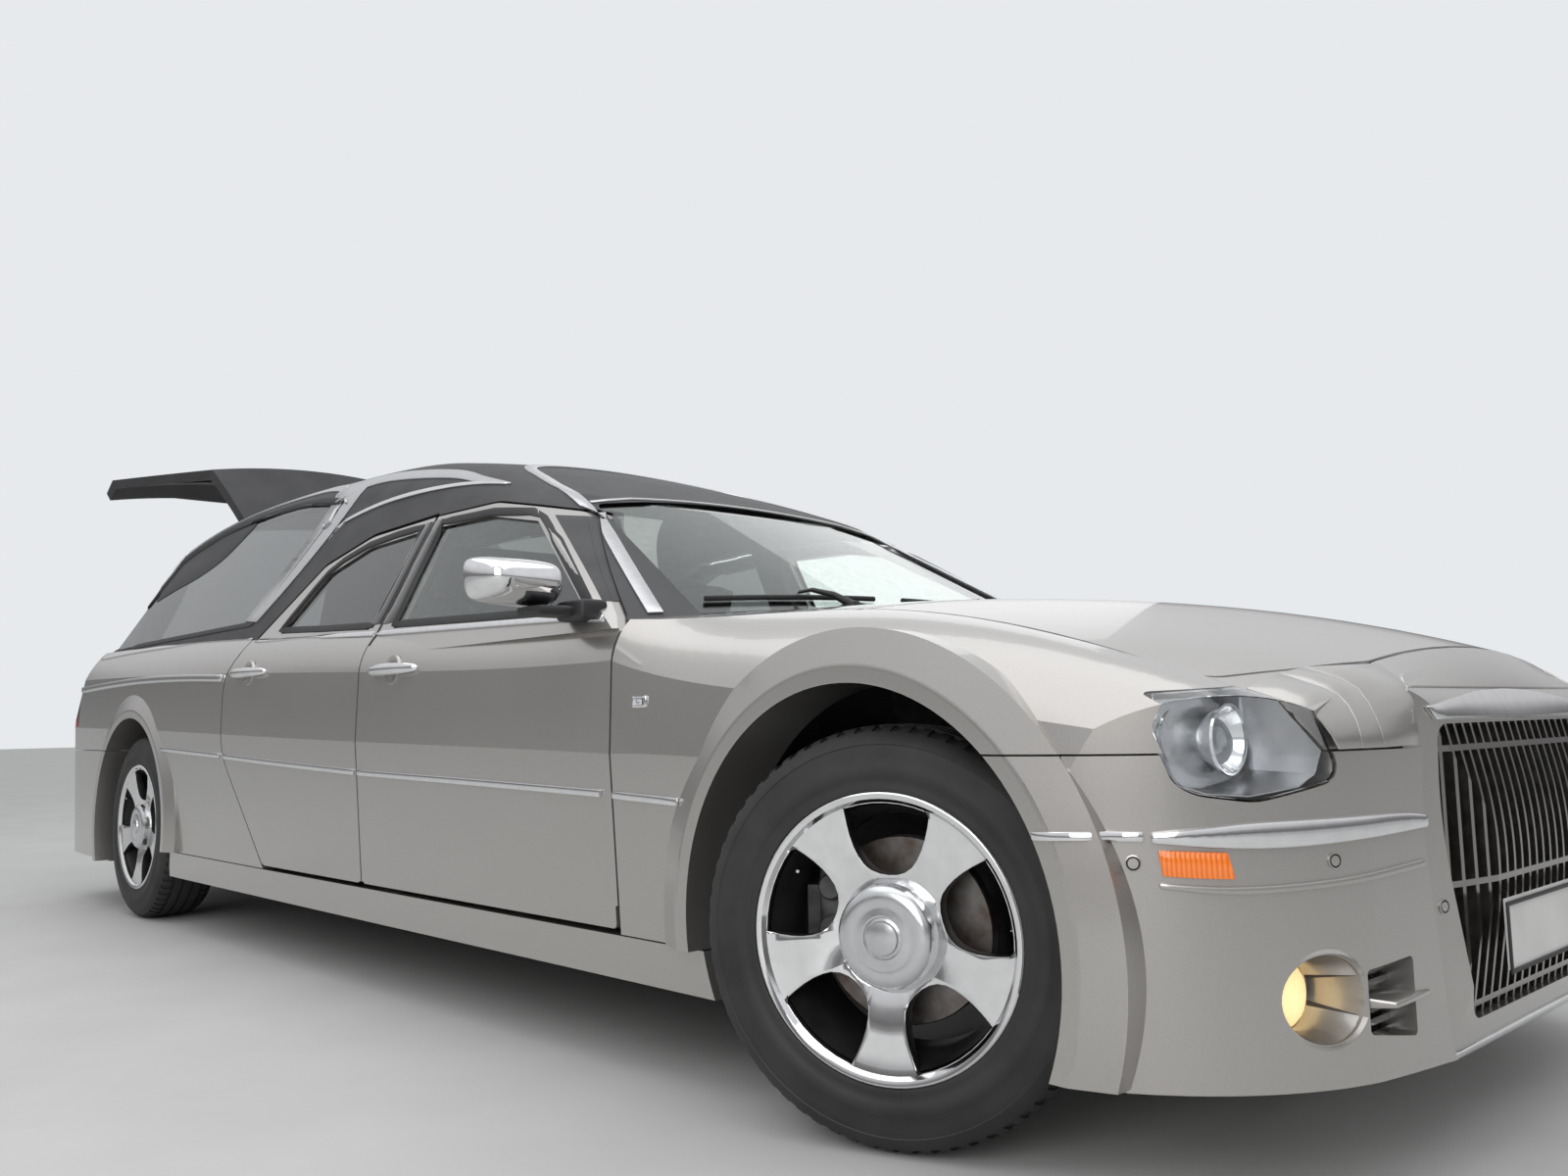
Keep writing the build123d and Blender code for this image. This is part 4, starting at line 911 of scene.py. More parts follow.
# %% Place the four wheels
steered = math.radians(20)
wheel_table = [
    # corner, centre, turn about the upright, knuckle's body
    ("front_right", (2.36423, -0.79608, 0.358), steered, "steer_right_body"),
    ("front_left", (2.31977, 0.79608, 0.358), steered + math.pi, "steer_left_body"),
    ("rear_right", (-1.617, -0.8, 0.358), 0.0, "body"),
    ("rear_left", (-1.617, 0.8, 0.358), math.pi, "body"),
]
for corner, centre, turn, holder in wheel_table:
    placing = Matrix.Translation(centre) @ Matrix.Rotation(turn, 4, "Z")
    rim = settle(copy_of(rim_face, f"wheel_{corner}_rim", placing), f"wheel_{corner}",
                 "wheel_chrome", 30)
    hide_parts(f"rim_{corner}")
    cover = settle(copy_of(tyre, f"wheel_{corner}_tyre", placing), f"wheel_{corner}", "tyre", 40)
    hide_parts(f"tyre_{corner}")
    settle(copy_of(caliper, f"caliper_{corner}", placing), holder, "cast_metal", 40)
for spare in (rim_face, tyre, caliper):
    bpy.data.objects.remove(spare)
print("four wheels placed")

# %% [markdown]
# The door mirrors are chrome shells like smooth pebbles, cut flat where the glass sits, on a
# black foot that grows from the corner of the window. A bevelled cube under a subdivision surface
# gives the pebble, and insetting its rear face gives the glass its rim.

# %% Door mirrors
mirror_glass, tree, shader = new_material("mirror_glass", (0.75, 0.78, 0.80), 0.02, 1.0)
vary_roughness(tree, shader, noise(tree, 6.0), 0.01, 0.03)


def shape_mirror(box):
    """Taper the shell to the front and narrow its lower edge."""
    pick(box, "FACE", lambda middle, normal: normal.x > 0.9)
    bpy.ops.transform.resize(value=(1.0, 0.72, 0.66))
    pick(box, "VERT", lambda place, normal: place.z < 1.04 and place.y < -1.04)
    bpy.ops.transform.translate(value=(0, 0.012, 0.010))


shell = soft_box("mirror_shell", car(-0.895, -1.040, 1.040), (0.130, 0.250, 0.130), chrome, 0.036,
                 3, shape_mirror)
rear_x = min(vertex.co.x for vertex in shell.data.vertices)
edit(shell)
bpy.ops.mesh.select_all(action="SELECT")
bpy.ops.mesh.bisect(plane_co=(rear_x + 0.008, 0, 0), plane_no=(-1, 0, 0), use_fill=True,
                    clear_outer=True)
leave()
shell.data.materials.append(plastic)
shell.data.materials.append(mirror_glass)
edit(shell)
pick(shell, "FACE", lambda middle, normal: normal.x < -0.98 and middle.x < rear_x + 0.009)
bpy.context.object.active_material_index = 1
bpy.ops.mesh.inset(thickness=0.006, depth=0.0)
bpy.ops.object.material_slot_assign()
bpy.ops.mesh.extrude_region_move(TRANSFORM_OT_translate={"value": (0.006, 0, 0)})
bpy.context.object.active_material_index = 2
bpy.ops.object.material_slot_assign()
leave()
foot = soft_box("mirror_foot", car(-0.872, -0.948, 0.976), (0.100, 0.165, 0.024), plastic, 0.009, 1)
neck = soft_box("mirror_neck", car(-0.845, -0.905, 0.978), (0.110, 0.075, 0.050), plastic, 0.012, 1)
take(shell)
foot.select_set(True)
neck.select_set(True)
bpy.ops.object.join()
flip_side = Matrix.Scale(-1, 4, (0, 1, 0))
left_shell = copy_of(shell, "door_mirror_left", flip_side)
shell.name = "door_mirror_right"
for mirror, side in ((shell, "right"), (left_shell, "left")):
    settle(mirror, f"front_door_{side}_body", "chrome", 40)
    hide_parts(f"mirror_{side}")
print("mirrors made")

# %% [markdown]
# Each door has a chrome pull handle over a round dished cup. The pull is a bar whose middle
# stands off the door, and the cup is a shallow painted dish that makes room for the fingers.

# %% Door handles
for side, sign in sides:
    for door_name, x, z in (("front_door", -1.700, 0.884), ("rear_door", -2.745, 0.918)):
        skin = flank_skin[side]
        half = 0.128
        stations = [(-1.0, 0.001), (-0.86, 0.015), (-0.60, 0.026), (-0.2, 0.031), (0.2, 0.031),
                    (0.60, 0.026), (0.86, 0.015), (1.0, 0.001)]
        points = []
        for along, stand in stations:
            place, normal = meet(skin, car(x + along * half, sign * 0.93, z), (0, -sign, 0))
            points.append(place + Vector((0, sign, 0)) * stand)
        radii = [0.008, 0.0125, 0.0155, 0.017, 0.017, 0.0155, 0.0125, 0.008]
        pull = tube_along(f"{door_name}_pull_{side}", points, radii, chrome, 14)
        finish_with(pull, "SUBSURF", levels=1, render_levels=1)
        settle(pull, f"{door_name}_{side}_body", "chrome", 50)
        place, normal = meet(skin, car(x - 0.012, sign * 0.93, z), (0, -sign, 0))
        cup = turned(f"{door_name}_cup_{side}", [(0.0, -0.0005), (0.020, -0.0010), (0.033, -0.0030),
                                                 (0.037, -0.0055), (0.040, -0.0050),
                                                 (0.042, 0.0030), (0.0, 0.0030)], paint, 40)
        facing = Vector((0, -1, 0)).rotation_difference(Vector((0, sign, 0.12)).normalized())
        cup.data.transform(Matrix.Translation(place) @ facing.to_matrix().to_4x4())
        settle(cup, f"{door_name}_{side}_body", "paint", 40)
print("handles made")

# %% [markdown]
# The nose carries the chrome: a blade along the bumper's top, a plate over the slats, a lip below
# them. Around these sit an amber lamp, small round parking sensors and a painted rib.

# %% Front trim
nose_skin = skin_of("front_bumper")
shell_skin = skin_of("grille_shell")
slat_finish, tree, shader = new_material("slat_metal", (0.34, 0.325, 0.31), 0.22, 1.0)
vary_roughness(tree, shader, noise(tree, 50.0), 0.16, 0.3)
nodes["grille_slats"].data.materials[0] = slat_finish
amber, tree, shader = new_material("amber_lamp", (0.80, 0.17, 0.012), 0.12, Coat_Weight=1.0,
                                   Emission_Color=(1.0, 0.25, 0.02, 1), Emission_Strength=0.15)
ribs = tree.nodes.new("ShaderNodeTexWave")
ribs.inputs["Scale"].default_value = 60.0
rib_place = tree.nodes.new("ShaderNodeTexCoord")
linked(tree, rib_place.outputs["Object"], ribs.inputs["Vector"])
add_bump(tree, shader, ribs, 0.4, 0.002)
vary_colour(tree, shader, ribs, (0.70, 0.13, 0.008), (0.90, 0.22, 0.02))
for side, sign in sides:
    def nose(x, y, z, mirror=sign):
        return car(x, mirror * y, z)

    nose_bands = [
        ("bumper_blade", chrome, 0.012, "chrome", nose_skin,
         [(0.538, 0.873, 0.541), (0.605, 0.816, 0.534), (0.669, 0.737, 0.532),
          (0.730, 0.598, 0.539),
          (0.757, 0.462, 0.546)],
         [(0.538, 0.873, 0.556), (0.600, 0.818, 0.564), (0.655, 0.758, 0.570),
          (0.741, 0.544, 0.572),
          (0.757, 0.462, 0.566)]),
        ("bumper_strip", chrome, 0.007, "chrome", nose_skin,
         [(0.390, 0.957, 0.543), (0.460, 0.925, 0.543), (0.530, 0.878, 0.543)],
         [(0.390, 0.957, 0.557), (0.460, 0.925, 0.557), (0.530, 0.878, 0.557)]),
        ("side_lamp", amber, 0.007, None, nose_skin,
         [(0.549, 0.864, 0.495), (0.585, 0.834, 0.492), (0.623, 0.797, 0.490)],
         [(0.545, 0.868, 0.532), (0.580, 0.838, 0.530), (0.617, 0.804, 0.528)]),
        ("bumper_rib", paint, 0.006, "paint", nose_skin,
         [(0.545, 0.868, 0.478), (0.623, 0.797, 0.469), (0.706, 0.669, 0.474),
          (0.757, 0.470, 0.488)],
         [(0.545, 0.868, 0.486), (0.623, 0.797, 0.480), (0.706, 0.669, 0.485),
          (0.757, 0.470, 0.499)]),
    ]
    for name, finish, height, slot_name, skin, low, high in nose_bands:
        rows = rows_between([nose(*p) for p in low], [nose(*p) for p in high], skin, None, 0.02)
        band = lay_strip(f"{name}_{side}", rows, finish, height, (0.7, sign * 0.7, 0))
        settle(band, "body", slot_name)
    for number, spot in enumerate(((0.516, 0.886, 0.513), (0.707, 0.666, 0.510),
                                   (0.746, 0.378, 0.417))):
        skin = shell_skin if number == 2 else nose_skin
        place, normal = meet(skin, nose(*spot))
        sensor = turned(f"parking_sensor_{side}_{number}",
                        [(0.0, -0.0030), (0.0075, -0.0028), (0.0082, -0.0010), (0.0092, -0.0008),
                         (0.0100, -0.0026), (0.0118, -0.0022), (0.0122, 0.0020), (0.0, 0.0020)],
                        paint, 28)
        sensor.data.materials.append(rubber)
        for face in sensor.data.polygons:
            reach = math.hypot(face.center.x, face.center.z)
            face.material_index = 1 if 0.0080 < reach < 0.0098 and face.center.y < -0.0005 else 0
        facing = Vector((0, -1, 0)).rotation_difference(normal)
        sensor.data.transform(Matrix.Translation(place) @ facing.to_matrix().to_4x4())
        settle(sensor, "body", "paint", 40)

plate_low = [(0.74, y, z) for y, z in ((-0.372, 0.706), (-0.20, 0.706), (-0.09, 0.705),
                                       (0.0, 0.704), (0.09, 0.705), (0.20, 0.706), (0.372, 0.706))]
plate_high = [(0.74, y, z) for y, z in ((-0.392, 0.728), (-0.20, 0.748), (-0.09, 0.754),
                                        (0.0, 0.756), (0.09, 0.754), (0.20, 0.748), (0.392, 0.728))]
rows = rows_between([car(*p) for p in plate_low], [car(*p) for p in plate_high], shell_skin,
                    (-1, 0, 0), 0.025)
settle(lay_strip("grille_top_plate", rows, chrome, 0.008, (1, 0, 0)), "body", "chrome")
lip_line = [car(0.745, y, 0.192) for y in (-0.395, -0.2, 0.0, 0.2, 0.395)]
rows = rows_along(drawn(lip_line, 0.04), [0.016], shell_skin, (-1, 0, 0))
settle(lay_strip("grille_lip", rows, chrome, 0.008, (1, 0, 0)), "body", "chrome")
print("front trim laid")

# %% [markdown]
# Behind each clear lamp cover lies a deep silver housing with two round dishes and a bulb in
# each. The housing is the lamp's outline extruded backwards, and the dishes are turned bowls that
# look forward.

# %% Headlamp insides
dish_finish, tree, shader = new_material("lamp_dish", (0.88, 0.89, 0.90), 0.10, 1.0)
vary_roughness(tree, shader, noise(tree, 30.0), 0.06, 0.16)
housing_finish, tree, shader = new_material("lamp_housing", (0.52, 0.53, 0.54), 0.22, 0.85)
vary_roughness(tree, shader, noise(tree, 18.0), 0.16, 0.32)
lens_glass = new_glass("lens_glass", (0.92, 0.95, 1.0), 0.02)
lamp_edge = [(0.868, 0.700), (0.866, 0.735), (0.850, 0.757), (0.780, 0.761), (0.705, 0.763),
             (0.688, 0.745), (0.660, 0.665), (0.648, 0.630), (0.700, 0.612), (0.770, 0.600),
             (0.820, 0.605), (0.846, 0.618), (0.862, 0.655)]
cover_skin = skin_of("headlamp_covers")
for side, sign in sides:
    centre_y = sum(y for y, _ in lamp_edge) / len(lamp_edge)
    centre_z = sum(z for _, z in lamp_edge) / len(lamp_edge)
    rim_points = []
    for y, z in lamp_edge:
        inner_y = centre_y + (y - centre_y) * 0.93
        inner_z = centre_z + (z - centre_z) * 0.93
        place, normal = meet(cover_skin, car(0.66, sign * inner_y, inner_z), (-1, 0, 0))
        rim_points.append(place - Vector((0.009, 0, 0)))
    bpy.ops.object.select_all(action="DESELECT")
    bpy.ops.mesh.primitive_plane_add(size=0.01, location=(0, 0, 0))
    housing = named(f"lamp_housing_{side}", housing_finish, dish_finish, lens_glass)
    edit(housing)
    bpy.ops.mesh.select_mode(type="VERT")
    bpy.ops.mesh.merge(type="CENTER")
    bpy.ops.transform.translate(value=rim_points[0])
    for start, end in zip(rim_points, rim_points[1:]):
        bpy.ops.mesh.extrude_region_move(TRANSFORM_OT_translate={"value": end - start})
    bpy.ops.mesh.select_all(action="SELECT")
    bpy.ops.mesh.edge_face_add()
    bpy.ops.mesh.select_mode(type="FACE")
    bpy.ops.mesh.select_all(action="SELECT")
    bpy.ops.mesh.extrude_region_move(TRANSFORM_OT_translate={"value": (-0.060, 0, 0)})
    bpy.ops.transform.resize(value=(0.30, 0.90, 0.88))
    bpy.ops.mesh.select_all(action="SELECT")
    bpy.ops.mesh.normals_make_consistent(inside=False)
    mouth = sum(rim_points, Vector()) / len(rim_points)
    pick(housing, "FACE", lambda middle, normal: (middle - mouth).length < 0.03)
    bpy.ops.mesh.delete(type="FACE")
    leave()
    housing.data.flip_normals()
    finish_with(housing, "SOLIDIFY", thickness=0.002, offset=-1.0)
    dishes = [
        # x of the rim, y, z, radius
        (0.540, 0.800, 0.690, 0.040),
        (0.590, 0.735, 0.685, 0.050),
    ]
    for x, y, z, radius in dishes:
        section = [(0.0, -0.045), (radius * 0.4, -0.040), (radius * 0.75, -0.022), (radius, 0.0),
                   (radius + 0.003, 0.0), (radius * 0.78, -0.026), (radius * 0.42, -0.044),
                   (0.0, -0.049)]
        dish = turned(f"dish_{side}_{radius}", section, dish_finish, 32, (1, 0, 0))
        ball = turned(f"ball_{side}_{radius}", [(0.0, -0.008), (radius * 0.30, -0.010),
                                                (radius * 0.46, -0.018), (radius * 0.50, -0.030),
                                                (0.0, -0.034)], lens_glass, 24, (1, 0, 0))
        ring = turned(f"ring_{side}_{radius}", [(radius, -0.003), (radius + 0.004, 0.0),
                                                (radius + 0.003, 0.004), (radius, 0.003),
                                                (radius, -0.003)], dish_finish, 32, (1, 0, 0))
        for part in (dish, ball, ring):
            part.data.transform(Matrix.Translation(car(x, sign * y, z)))
            take(housing)
            part.select_set(True)
            bpy.ops.object.join()
    housing.name = f"lamp_housing_{side}"
    settle(housing, "body", "lamp_bowl", 35)
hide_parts("headlamps")
print("headlamp insides made")

# %% [markdown]
# The fog lamps are lit, warm discs at the bottom of a painted cone, and beside them the bumper
# has two slots with louvres and a painted fin between them.

# %% Fog lamps and vents
for side, sign in sides:
    centre = car(0.64, sign * 0.690, 0.318)
    bezel = turned(f"fog_bezel_{side}", [(0.0500, 0.000), (0.0590, 0.030), (0.0625, 0.045),
                                         (0.0640, 0.047), (0.0640, 0.050), (0.0620, 0.052),
                                         (0.0480, 0.003), (0.0480, 0.000), (0.0500, 0.000)],
                   paint, 40, (1, 0, 0))
    for vertex in bezel.data.vertices:
        spread = math.hypot(vertex.co.y, vertex.co.z)
        if spread > 0.0590:
            grown = vertex.co * (0.071 / spread)
            spot = centre + Vector((0, grown.y * 1.05, grown.z * 1.05))
            place, normal = meet(nose_skin, spot + Vector((0.06, 0, 0)), (-1, 0, 0))
            raised = 0.004 if spread < 0.0632 else -0.001
            shape = 1.0 if spread > 0.0632 else 0.0645 / 0.071
            vertex.co = Vector((place.x - centre.x + raised, grown.y * shape, grown.z * shape))
    bezel.data.transform(Matrix.Translation(centre))
    settle(bezel, "body", "paint", 40)
    lens = turned(f"fog_lens_{side}", [(0.0, 0.014), (0.020, 0.0125), (0.036, 0.008), (0.0455, 0.0),
                                       (0.0465, -0.004), (0.0, -0.004)], glow, 36, (1, 0, 0))
    lens.data.transform(Matrix.Translation(centre))
    settle(lens, "body", "lamp_bowl", 60)
    bpy.ops.object.select_all(action="DESELECT")
    bpy.ops.mesh.primitive_cube_add(size=1.0, location=car(0.692, sign * 0.566, 0.304))
    grid = named(f"bumper_vent_{side}", black_gloss)
    bpy.ops.transform.resize(value=(0.006, 0.106, 0.112))
    bpy.ops.object.transform_apply(location=True, rotation=True, scale=True)
    edit(grid)
    for level in range(1, 12):
        bpy.ops.mesh.select_all(action="SELECT")
        bpy.ops.mesh.bisect(plane_co=(0, 0, 0.248 + level * 0.112 / 12), plane_no=(0, 0, 1))
    pick(grid, "FACE", lambda middle, normal: normal.x > 0.9
         and int((middle.z - 0.248) / (0.112 / 12)) % 2 == 0)
    bpy.ops.mesh.extrude_region_move(TRANSFORM_OT_translate={"value": (0.012, 0, -0.002)})
    leave()
    settle(grid, "body", "black_plastic", 30)
    bpy.ops.object.select_all(action="DESELECT")
    bpy.ops.mesh.primitive_cube_add(size=1.0, location=car(0.722, sign * 0.560, 0.304))
    fin = named(f"bumper_fin_{side}", paint)
    bpy.ops.transform.resize(value=(0.060, 0.124, 0.020))
    bpy.ops.object.transform_apply(location=True, rotation=True, scale=True)
    edit(fin)
    pick(fin, "FACE", lambda middle, normal: normal.x > 0.9)
    bpy.ops.transform.resize(value=(1.0, 1.0, 0.45))
    bpy.ops.transform.translate(value=(0.004, -sign * 0.022, 0.0))
    leave()
    finish_with(fin, "BEVEL", width=0.003, segments=2, limit_method="ANGLE")
    settle(fin, "body", "paint", 35)
print("fog lamps and vents made")

# %% [markdown]
# Small fittings: the clear side repeaters on the wings, and the two wipers parked at the foot of
# the windscreen. A wiper is a slim arm bent over a long rubber blade.

# %% Repeaters and wipers
for side, sign in sides:
    place, normal = meet(flank_skin[side], car(-0.594, sign * 0.93, 0.770), (0, -sign, 0))
    repeater = soft_box(f"side_repeater_{side}", place, (0.050, 0.010, 0.026), chrome, 0.004, 1)
    lamp = soft_box(f"repeater_lamp_{side}", place + Vector((0, sign * 0.0035, 0)),
                    (0.036, 0.008, 0.016), lens_glass, 0.003, 1)
    spot = soft_box(f"repeater_bulb_{side}", place + Vector((0, sign * 0.0050, 0)),
                    (0.009, 0.007, 0.009), satin, 0.002, 1)
    take(repeater)
    lamp.select_set(True)
    spot.select_set(True)
    bpy.ops.object.join()
    settle(repeater, "body", "chrome", 40)
screen_skin = skin_of("windscreen", "roof", "cowl")
wiper_table = [
    # name, blade from y, to y, pivot y
    ("wiper_right", -0.640, -0.160, -0.300),
    ("wiper_left", -0.060, 0.520, 0.250),
]
for name, first_y, last_y, pivot_y in wiper_table:
    blade_points = []
    for i in range(9):
        y = first_y + (last_y - first_y) * i / 8
        x = -0.655 - 0.10 * (y / 0.7) ** 2
        place, normal = meet(screen_skin, car(x, y, 1.0), (-0.46, 0, -0.88))
        blade_points.append(place + normal * 0.008)
    blade = tube_along(f"{name}_blade", blade_points, 0.0065, rubber, 8)
    middle = blade_points[4] + Vector((0.004, 0, 0.012))
    place, normal = meet(screen_skin, car(-0.590, pivot_y, 0.99), (-0.2, 0, -0.9))
    arm_points = [place + Vector((0, 0, 0.010)), place.lerp(middle, 0.35) + Vector((0, 0, 0.020)),
                  place.lerp(middle, 0.75) + Vector((0, 0, 0.016)), middle]
    arm = tube_along(f"{name}_arm", arm_points, [0.011, 0.008, 0.006, 0.005], plastic, 8)
    knob = soft_box(f"{name}_knob", place + Vector((0, 0, 0.006)), (0.034, 0.034, 0.028), plastic,
                    0.008, 1)
    take(blade)
    arm.select_set(True)
    knob.select_set(True)
    bpy.ops.object.join()
    blade.name = name
    settle(blade, "body", "black_plastic", 45)
print("fittings made")

# %% [markdown]
# The panel between each headlamp and the grille shell is a soft painted corner that closes the
# nose. It is a strip of rows from the wing's front edge to the side of the shell.

# %% Nose corners
# Columns from the lamp inwards to the shell, each a line of front-axle (x, y, z) from low to high
corner_columns = [
    [(0.7187, 0.657, 0.668), (0.7140, 0.666, 0.688), (0.7040, 0.672, 0.706),
     (0.6940, 0.680, 0.721), (0.6820, 0.686, 0.729), (0.6660, 0.690, 0.735),
     (0.6500, 0.690, 0.741), (0.6000, 0.690, 0.758)],
    [(0.7300, 0.604, 0.668), (0.7278, 0.604, 0.690), (0.7225, 0.604, 0.711),
     (0.7130, 0.604, 0.731), (0.6985, 0.604, 0.7475), (0.6790, 0.604, 0.757),
     (0.6550, 0.604, 0.7655), (0.6120, 0.604, 0.7815)],
    [(0.7405, 0.550, 0.668), (0.7370, 0.550, 0.690), (0.7300, 0.550, 0.712),
     (0.7200, 0.550, 0.735), (0.7060, 0.550, 0.756), (0.6840, 0.550, 0.770),
     (0.6580, 0.550, 0.7795), (0.6250, 0.550, 0.791)],
    [(0.7410, 0.420, 0.668), (0.7400, 0.420, 0.692), (0.7385, 0.420, 0.716),
     (0.7360, 0.420, 0.738), (0.7260, 0.420, 0.760), (0.7110, 0.420, 0.775),
     (0.6920, 0.420, 0.789), (0.6800, 0.420, 0.796)],
]
for side, sign in sides:
    columns = [[car(x, sign * y, z) for x, y, z in column] for column in corner_columns]
    for part, first, second in (("lamp", 0, 1), ("wing", 1, 2), ("shell", 2, 3)):
        rows = list(zip(columns[first], columns[second]))
        corner = lay_strip(f"nose_{part}_{side}", rows, paint, 0.003, (1, 0, 0.6), sink=0.001)
        settle(corner, "body", "paint", 60)
# Rows from right to left: y, the bonnet's front edge (x, z), and the foot on the shell's slope
cap_half = [(0.420, 0.6760, 0.7975, 0.731, 0.7560), (0.400, 0.6755, 0.8010, 0.730, 0.7585),
            (0.360, 0.6775, 0.8070, 0.730, 0.7585), (0.300, 0.6795, 0.8150, 0.730, 0.7585),
            (0.200, 0.6837, 0.8245, 0.730, 0.7585), (0.100, 0.6865, 0.8300, 0.730, 0.7585)]
cap_rows = ([(-y, *rest) for y, *rest in cap_half] + [(0.0, 0.6873, 0.8320, 0.730, 0.7585)]
            + [tuple(row) for row in reversed(cap_half)])
rows = [(car(x_back, y, z_back), car(x_foot, y, z_foot))
        for y, x_back, z_back, x_foot, z_foot in cap_rows]
cap = lay_strip("grille_cap", rows, paint, 0.003, (0.6, 0, 0.8), sink=0.001)
settle(cap, "body", "paint", 60)
print("nose corners closed")

# %% [markdown]
# The forward edge of each front door's frame is clad in the same black vinyl as the pillar beside
# it, and a black patch with a soft lower edge fills the rear top corner of the load bay's glass.

# %% Black cladding
# Rows up the door's front edge: z, then y and x where the cladding starts, y and x at the crease
cladding_rows = [(1.000, 0.866, -0.8210, 0.846, -0.8114), (1.050, 0.835, -0.9017, 0.810, -0.8897),
                 (1.100, 0.805, -0.9835, 0.773, -0.9679), (1.150, 0.775, -1.0660, 0.733, -1.0461),
                 (1.200, 0.745, -1.1491, 0.689, -1.1243), (1.250, 0.715, -1.2327, 0.645, -1.2025),
                 (1.270, 0.703, -1.2660, 0.628, -1.2338)]
for side, sign in sides:
    outer_edge, crease, inner = ([], [], [])
    for z, y_outer, x_outer, y_crease, x_crease in cladding_rows:
        outer_edge.append(car(x_outer, sign * y_outer, z))
        crease.append(car(x_crease, sign * y_crease, z))
        inner.append(car(x_crease, sign * (y_crease - 0.110), z))
    body = f"front_door_{side}_body"
    for part, rows in (("front", zip(outer_edge, crease)), ("inner", zip(crease, inner))):
        cladding = lay_strip(f"door_cladding_{part}_{side}", list(rows), vinyl, 0.0015,
                             (0.5, 0, 0.85), sink=0.002)
        settle(cladding, body, "roof_vinyl")
    glass_side = skin_of("side_glass")
    upper = [(-3.72, 1.577), (-4.00, 1.566), (-4.28, 1.535), (-4.48, 1.490), (-4.60, 1.375)]
    lower = [(-3.70, 1.560), (-3.88, 1.440), (-4.10, 1.380), (-4.34, 1.350), (-4.58, 1.315)]
    edges = [[car(x, sign * (0.84 - 0.5 * (z - 1.0)), z) for x, z in edge]
             for edge in (upper, lower)]
    rows = rows_between(*edges, glass_side, (0, -sign * 0.89, -0.46), 0.05)
    patch = lay_strip(f"glass_patch_{side}", rows, plastic, 0.0025, (0, sign, 0.4))
    settle(patch, "body", "black_plastic")
print("black cladding laid")

# %% [markdown]
# Where the fork of the satin trim parts, the real car carries a scroll in relief. It is drawn
# here as a plain S of round bar, laid on the band and half sunk in it.

# %% Scroll on the fork
scroll_shape = [(-0.030, -0.050), (-0.012, -0.058), (0.010, -0.050), (0.018, -0.030),
                (0.006, -0.010),
                (-0.006, 0.010), (-0.018, 0.030), (-0.010, 0.050), (0.012, 0.058), (0.030, 0.050)]
for side, sign in sides:
    points = []
    for across, along in scroll_shape:
        x = -2.800 + along * 0.55 + across
        z = 1.455 + along * 0.85 - across * 0.35
        place, normal = meet(roof_glass_skin, car(x, sign * (0.84 - 0.55 * (z - 1.0)), z),
                             (0, -sign * 0.8, -0.6))
        points.append(place + normal * 0.007)
    scroll = tube_along(f"fork_scroll_{side}", drawn(points, 0.012), 0.0055, satin, 8)
    settle(scroll, "body", "chrome", 60)
print("scrolls added")

# %% [markdown]
# Seats are stuffed, so their faces are crowned and their seams drawn in. Each pad starts as a
# cube; its top is inset, the seam is pushed down and the middle raised again, and a subdivision
# surface rounds it all. A seat is joined from such pads.


# %% Padded seats
def pad(name, place, size, tilt, panels=1):
    """One stuffed pad with a drawn-in seam round each panel of its top."""
    bpy.ops.object.select_all(action="DESELECT")
    bpy.ops.mesh.primitive_cube_add(size=1.0, location=(0, 0, 0))
    cushion = named(name, leather)
    bpy.ops.transform.resize(value=size)
    bpy.ops.object.transform_apply(location=True, rotation=True, scale=True)
    edit(cushion)
    for cut in range(1, panels):
        bpy.ops.mesh.select_all(action="SELECT")
        bpy.ops.mesh.bisect(plane_co=(0, size[1] * (cut / panels - 0.5), 0), plane_no=(0, 1, 0))
    pick(cushion, "FACE", lambda middle, normal: normal.z > 0.9)
    bpy.ops.mesh.inset(thickness=min(size[0], size[1] / panels) * 0.14, depth=size[2] * 0.06,
                       use_individual=True)
    bpy.ops.mesh.inset(thickness=0.008, depth=-0.012, use_individual=True)
    bpy.ops.mesh.inset(thickness=0.010, depth=0.014, use_individual=True)
    bpy.ops.mesh.inset(thickness=min(size[0], size[1] / panels) * 0.12, depth=0.010,
                       use_individual=True)
    leave()
    finish_with(cushion, "BEVEL", width=min(size) * 0.16, segments=2, limit_method="ANGLE",
                angle_limit=math.radians(60))
    finish_with(cushion, "SUBSURF", levels=2, render_levels=2)
    cushion.data.transform(Matrix.Translation(place) @ Euler((0, tilt, 0)).to_matrix().to_4x4())
    return cushion


def seat(name, x, y, width, panels, heads):
    """A seat with cushion, leaning back and head rests, as one padded piece."""
    lean = math.radians(-72)
    parts = [
        pad(f"{name}_cushion", car(x + 0.235, y, 0.470), (0.52, width, 0.16), math.radians(-5),
            panels),
        pad(f"{name}_back", car(x - 0.065, y, 0.795), (0.56, width * 0.96, 0.13), lean, panels),
    ]
    for head in heads:
        parts.append(pad(f"{name}_head_{head}", car(x - 0.200, y + head, 1.130),
                         (0.17, 0.26, 0.095), lean))
        for post in (-0.055, 0.055):
            stalk = tube_along(f"{name}_post", [car(x - 0.165, y + head + post, 1.00),
                                                car(x - 0.200, y + head + post, 1.10)],
                               0.007, chrome, 10)
            parts.append(stalk)
    take(parts[0])
    for part in parts[1:]:
        part.select_set(True)
    bpy.ops.object.join()
    parts[0].name = name
    settle(parts[0], "body", "leather", 60)
    return parts[0]


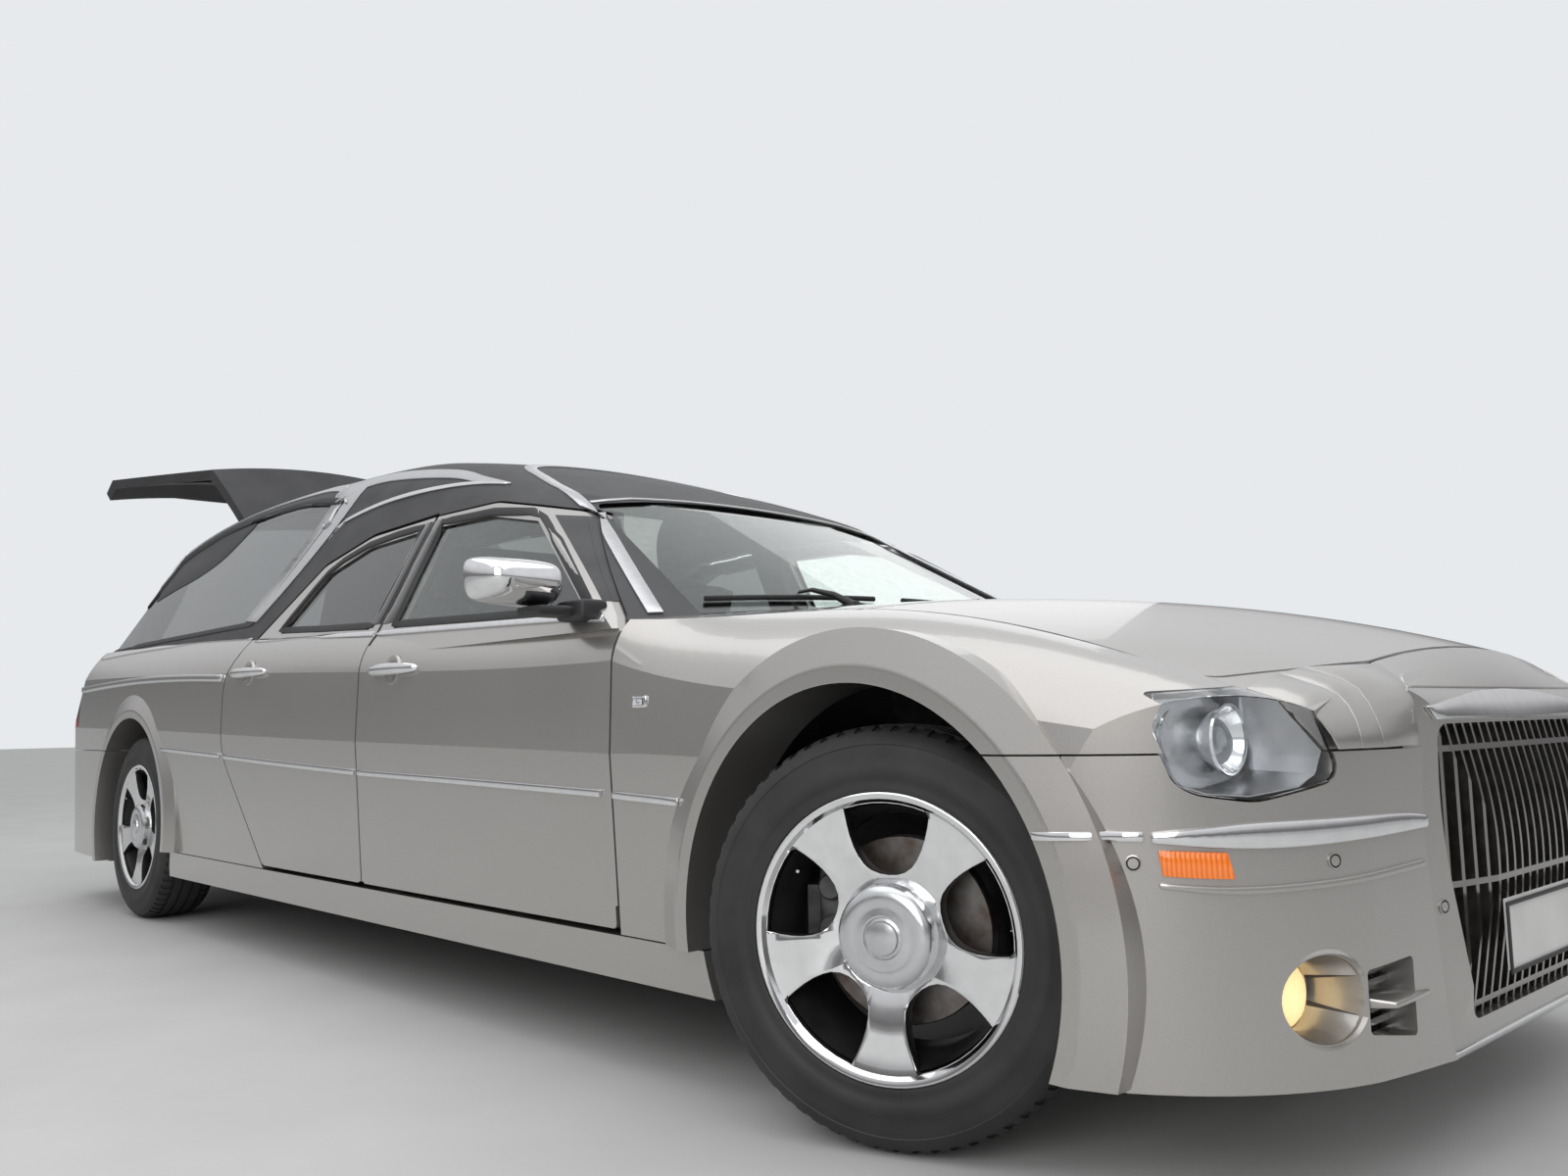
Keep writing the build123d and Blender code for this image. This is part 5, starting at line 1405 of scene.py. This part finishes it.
for side, sign in sides:
    front_seat = seat(f"front_seat_{side}", -1.820, sign * 0.370, 0.50, 1, [0.0])
    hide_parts("front_seats")
    bpy.ops.object.select_all(action="DESELECT")
    bpy.ops.mesh.primitive_cube_add(size=1.0, location=car(-1.580, sign * 0.370, 0.345))
    runner = named(f"seat_base_{side}", plastic)
    bpy.ops.transform.resize(value=(0.40, 0.38, 0.13))
    finish_with(runner, "BEVEL", width=0.012, segments=2)
    settle(runner, "body", "black_plastic")
rear_bench = seat("rear_bench", -2.560, 0.0, 1.26, 3, [-0.37, 0.37])
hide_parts("rear_seat")
bpy.ops.object.select_all(action="DESELECT")
bpy.ops.mesh.primitive_cube_add(size=1.0, location=car(-2.330, 0.0, 0.345))
bench_base = named("bench_base", plastic)
bpy.ops.transform.resize(value=(0.38, 1.20, 0.13))
finish_with(bench_base, "BEVEL", width=0.012, segments=2)
settle(bench_base, "body", "black_plastic")
print("seats padded")

# %% [markdown]
# The number plates are blank, as a library part's should be. Each sits in a black plastic frame,
# made from a plane whose middle is inset and taken out, then thickened.

# %% Plate frames
for name, x, z, size, facing in (("plate_frame_front", 0.7975, 0.360, (0.530, 0.112), 1),
                                 ("plate_frame_rear", -5.1445, 0.485, (0.530, 0.112), -1)):
    bpy.ops.object.select_all(action="DESELECT")
    bpy.ops.mesh.primitive_plane_add(size=1.0, location=(0, 0, 0))
    border = named(name, plastic)
    bpy.ops.transform.resize(value=(size[1], size[0], 1))
    bpy.ops.object.transform_apply(location=True, rotation=True, scale=True)
    edit(border)
    bpy.ops.mesh.select_all(action="SELECT")
    bpy.ops.mesh.inset(thickness=0.007, depth=0.0)
    bpy.ops.mesh.delete(type="FACE")
    leave()
    border.data.transform(Matrix.Translation(car(x, 0, z))
                          @ Matrix.Rotation(facing * math.pi / 2, 4, "Y"))
    finish_with(border, "SOLIDIFY", thickness=0.004, offset=1.0)
    finish_with(border, "BEVEL", width=0.0015, segments=2)
    settle(border, "body", "black_plastic")
print("plate frames made")

# %% [markdown]
# The car stands on a plain pale floor that runs far out, so that no edge shows.

# %% Floor
bpy.ops.object.select_all(action="DESELECT")
bpy.ops.mesh.primitive_plane_add(size=160.0, location=(0, 0, 0))
floor_plane = bpy.context.object
floor_plane.name = "stage_floor"
floor_finish, tree, shader = new_material("pale_floor", (0.52, 0.52, 0.51), 0.7)
vary_colour(tree, shader, noise(tree, 2.0), (0.50, 0.50, 0.49), (0.54, 0.54, 0.53))
floor_plane.data.materials.append(floor_finish)

# %% [markdown]
# No real surface is perfectly even, so the last pass looks at every finish. Where the colour, the
# roughness or the relief is still one constant, a fine noise lets it wander a little round that
# value.

# %% Break up what is still even
for tree, shader in finishes:
    grain = noise(tree, 38.0)
    base = shader.inputs["Base Color"]
    if not base.is_linked:
        tone = base.default_value[:3]
        vary_colour(tree, shader, grain, [0.95 * part for part in tone],
                    [min(1.04 * part, 1.0) for part in tone])
    level = shader.inputs["Roughness"]
    if not level.is_linked:
        vary_roughness(tree, shader, grain, 0.93 * level.default_value,
                       min(1.07 * level.default_value, 1.0))
    if not shader.inputs["Normal"].is_linked:
        add_bump(tree, shader, grain, 0.03, 0.0002)
print(len(finishes), "finishes broken up")
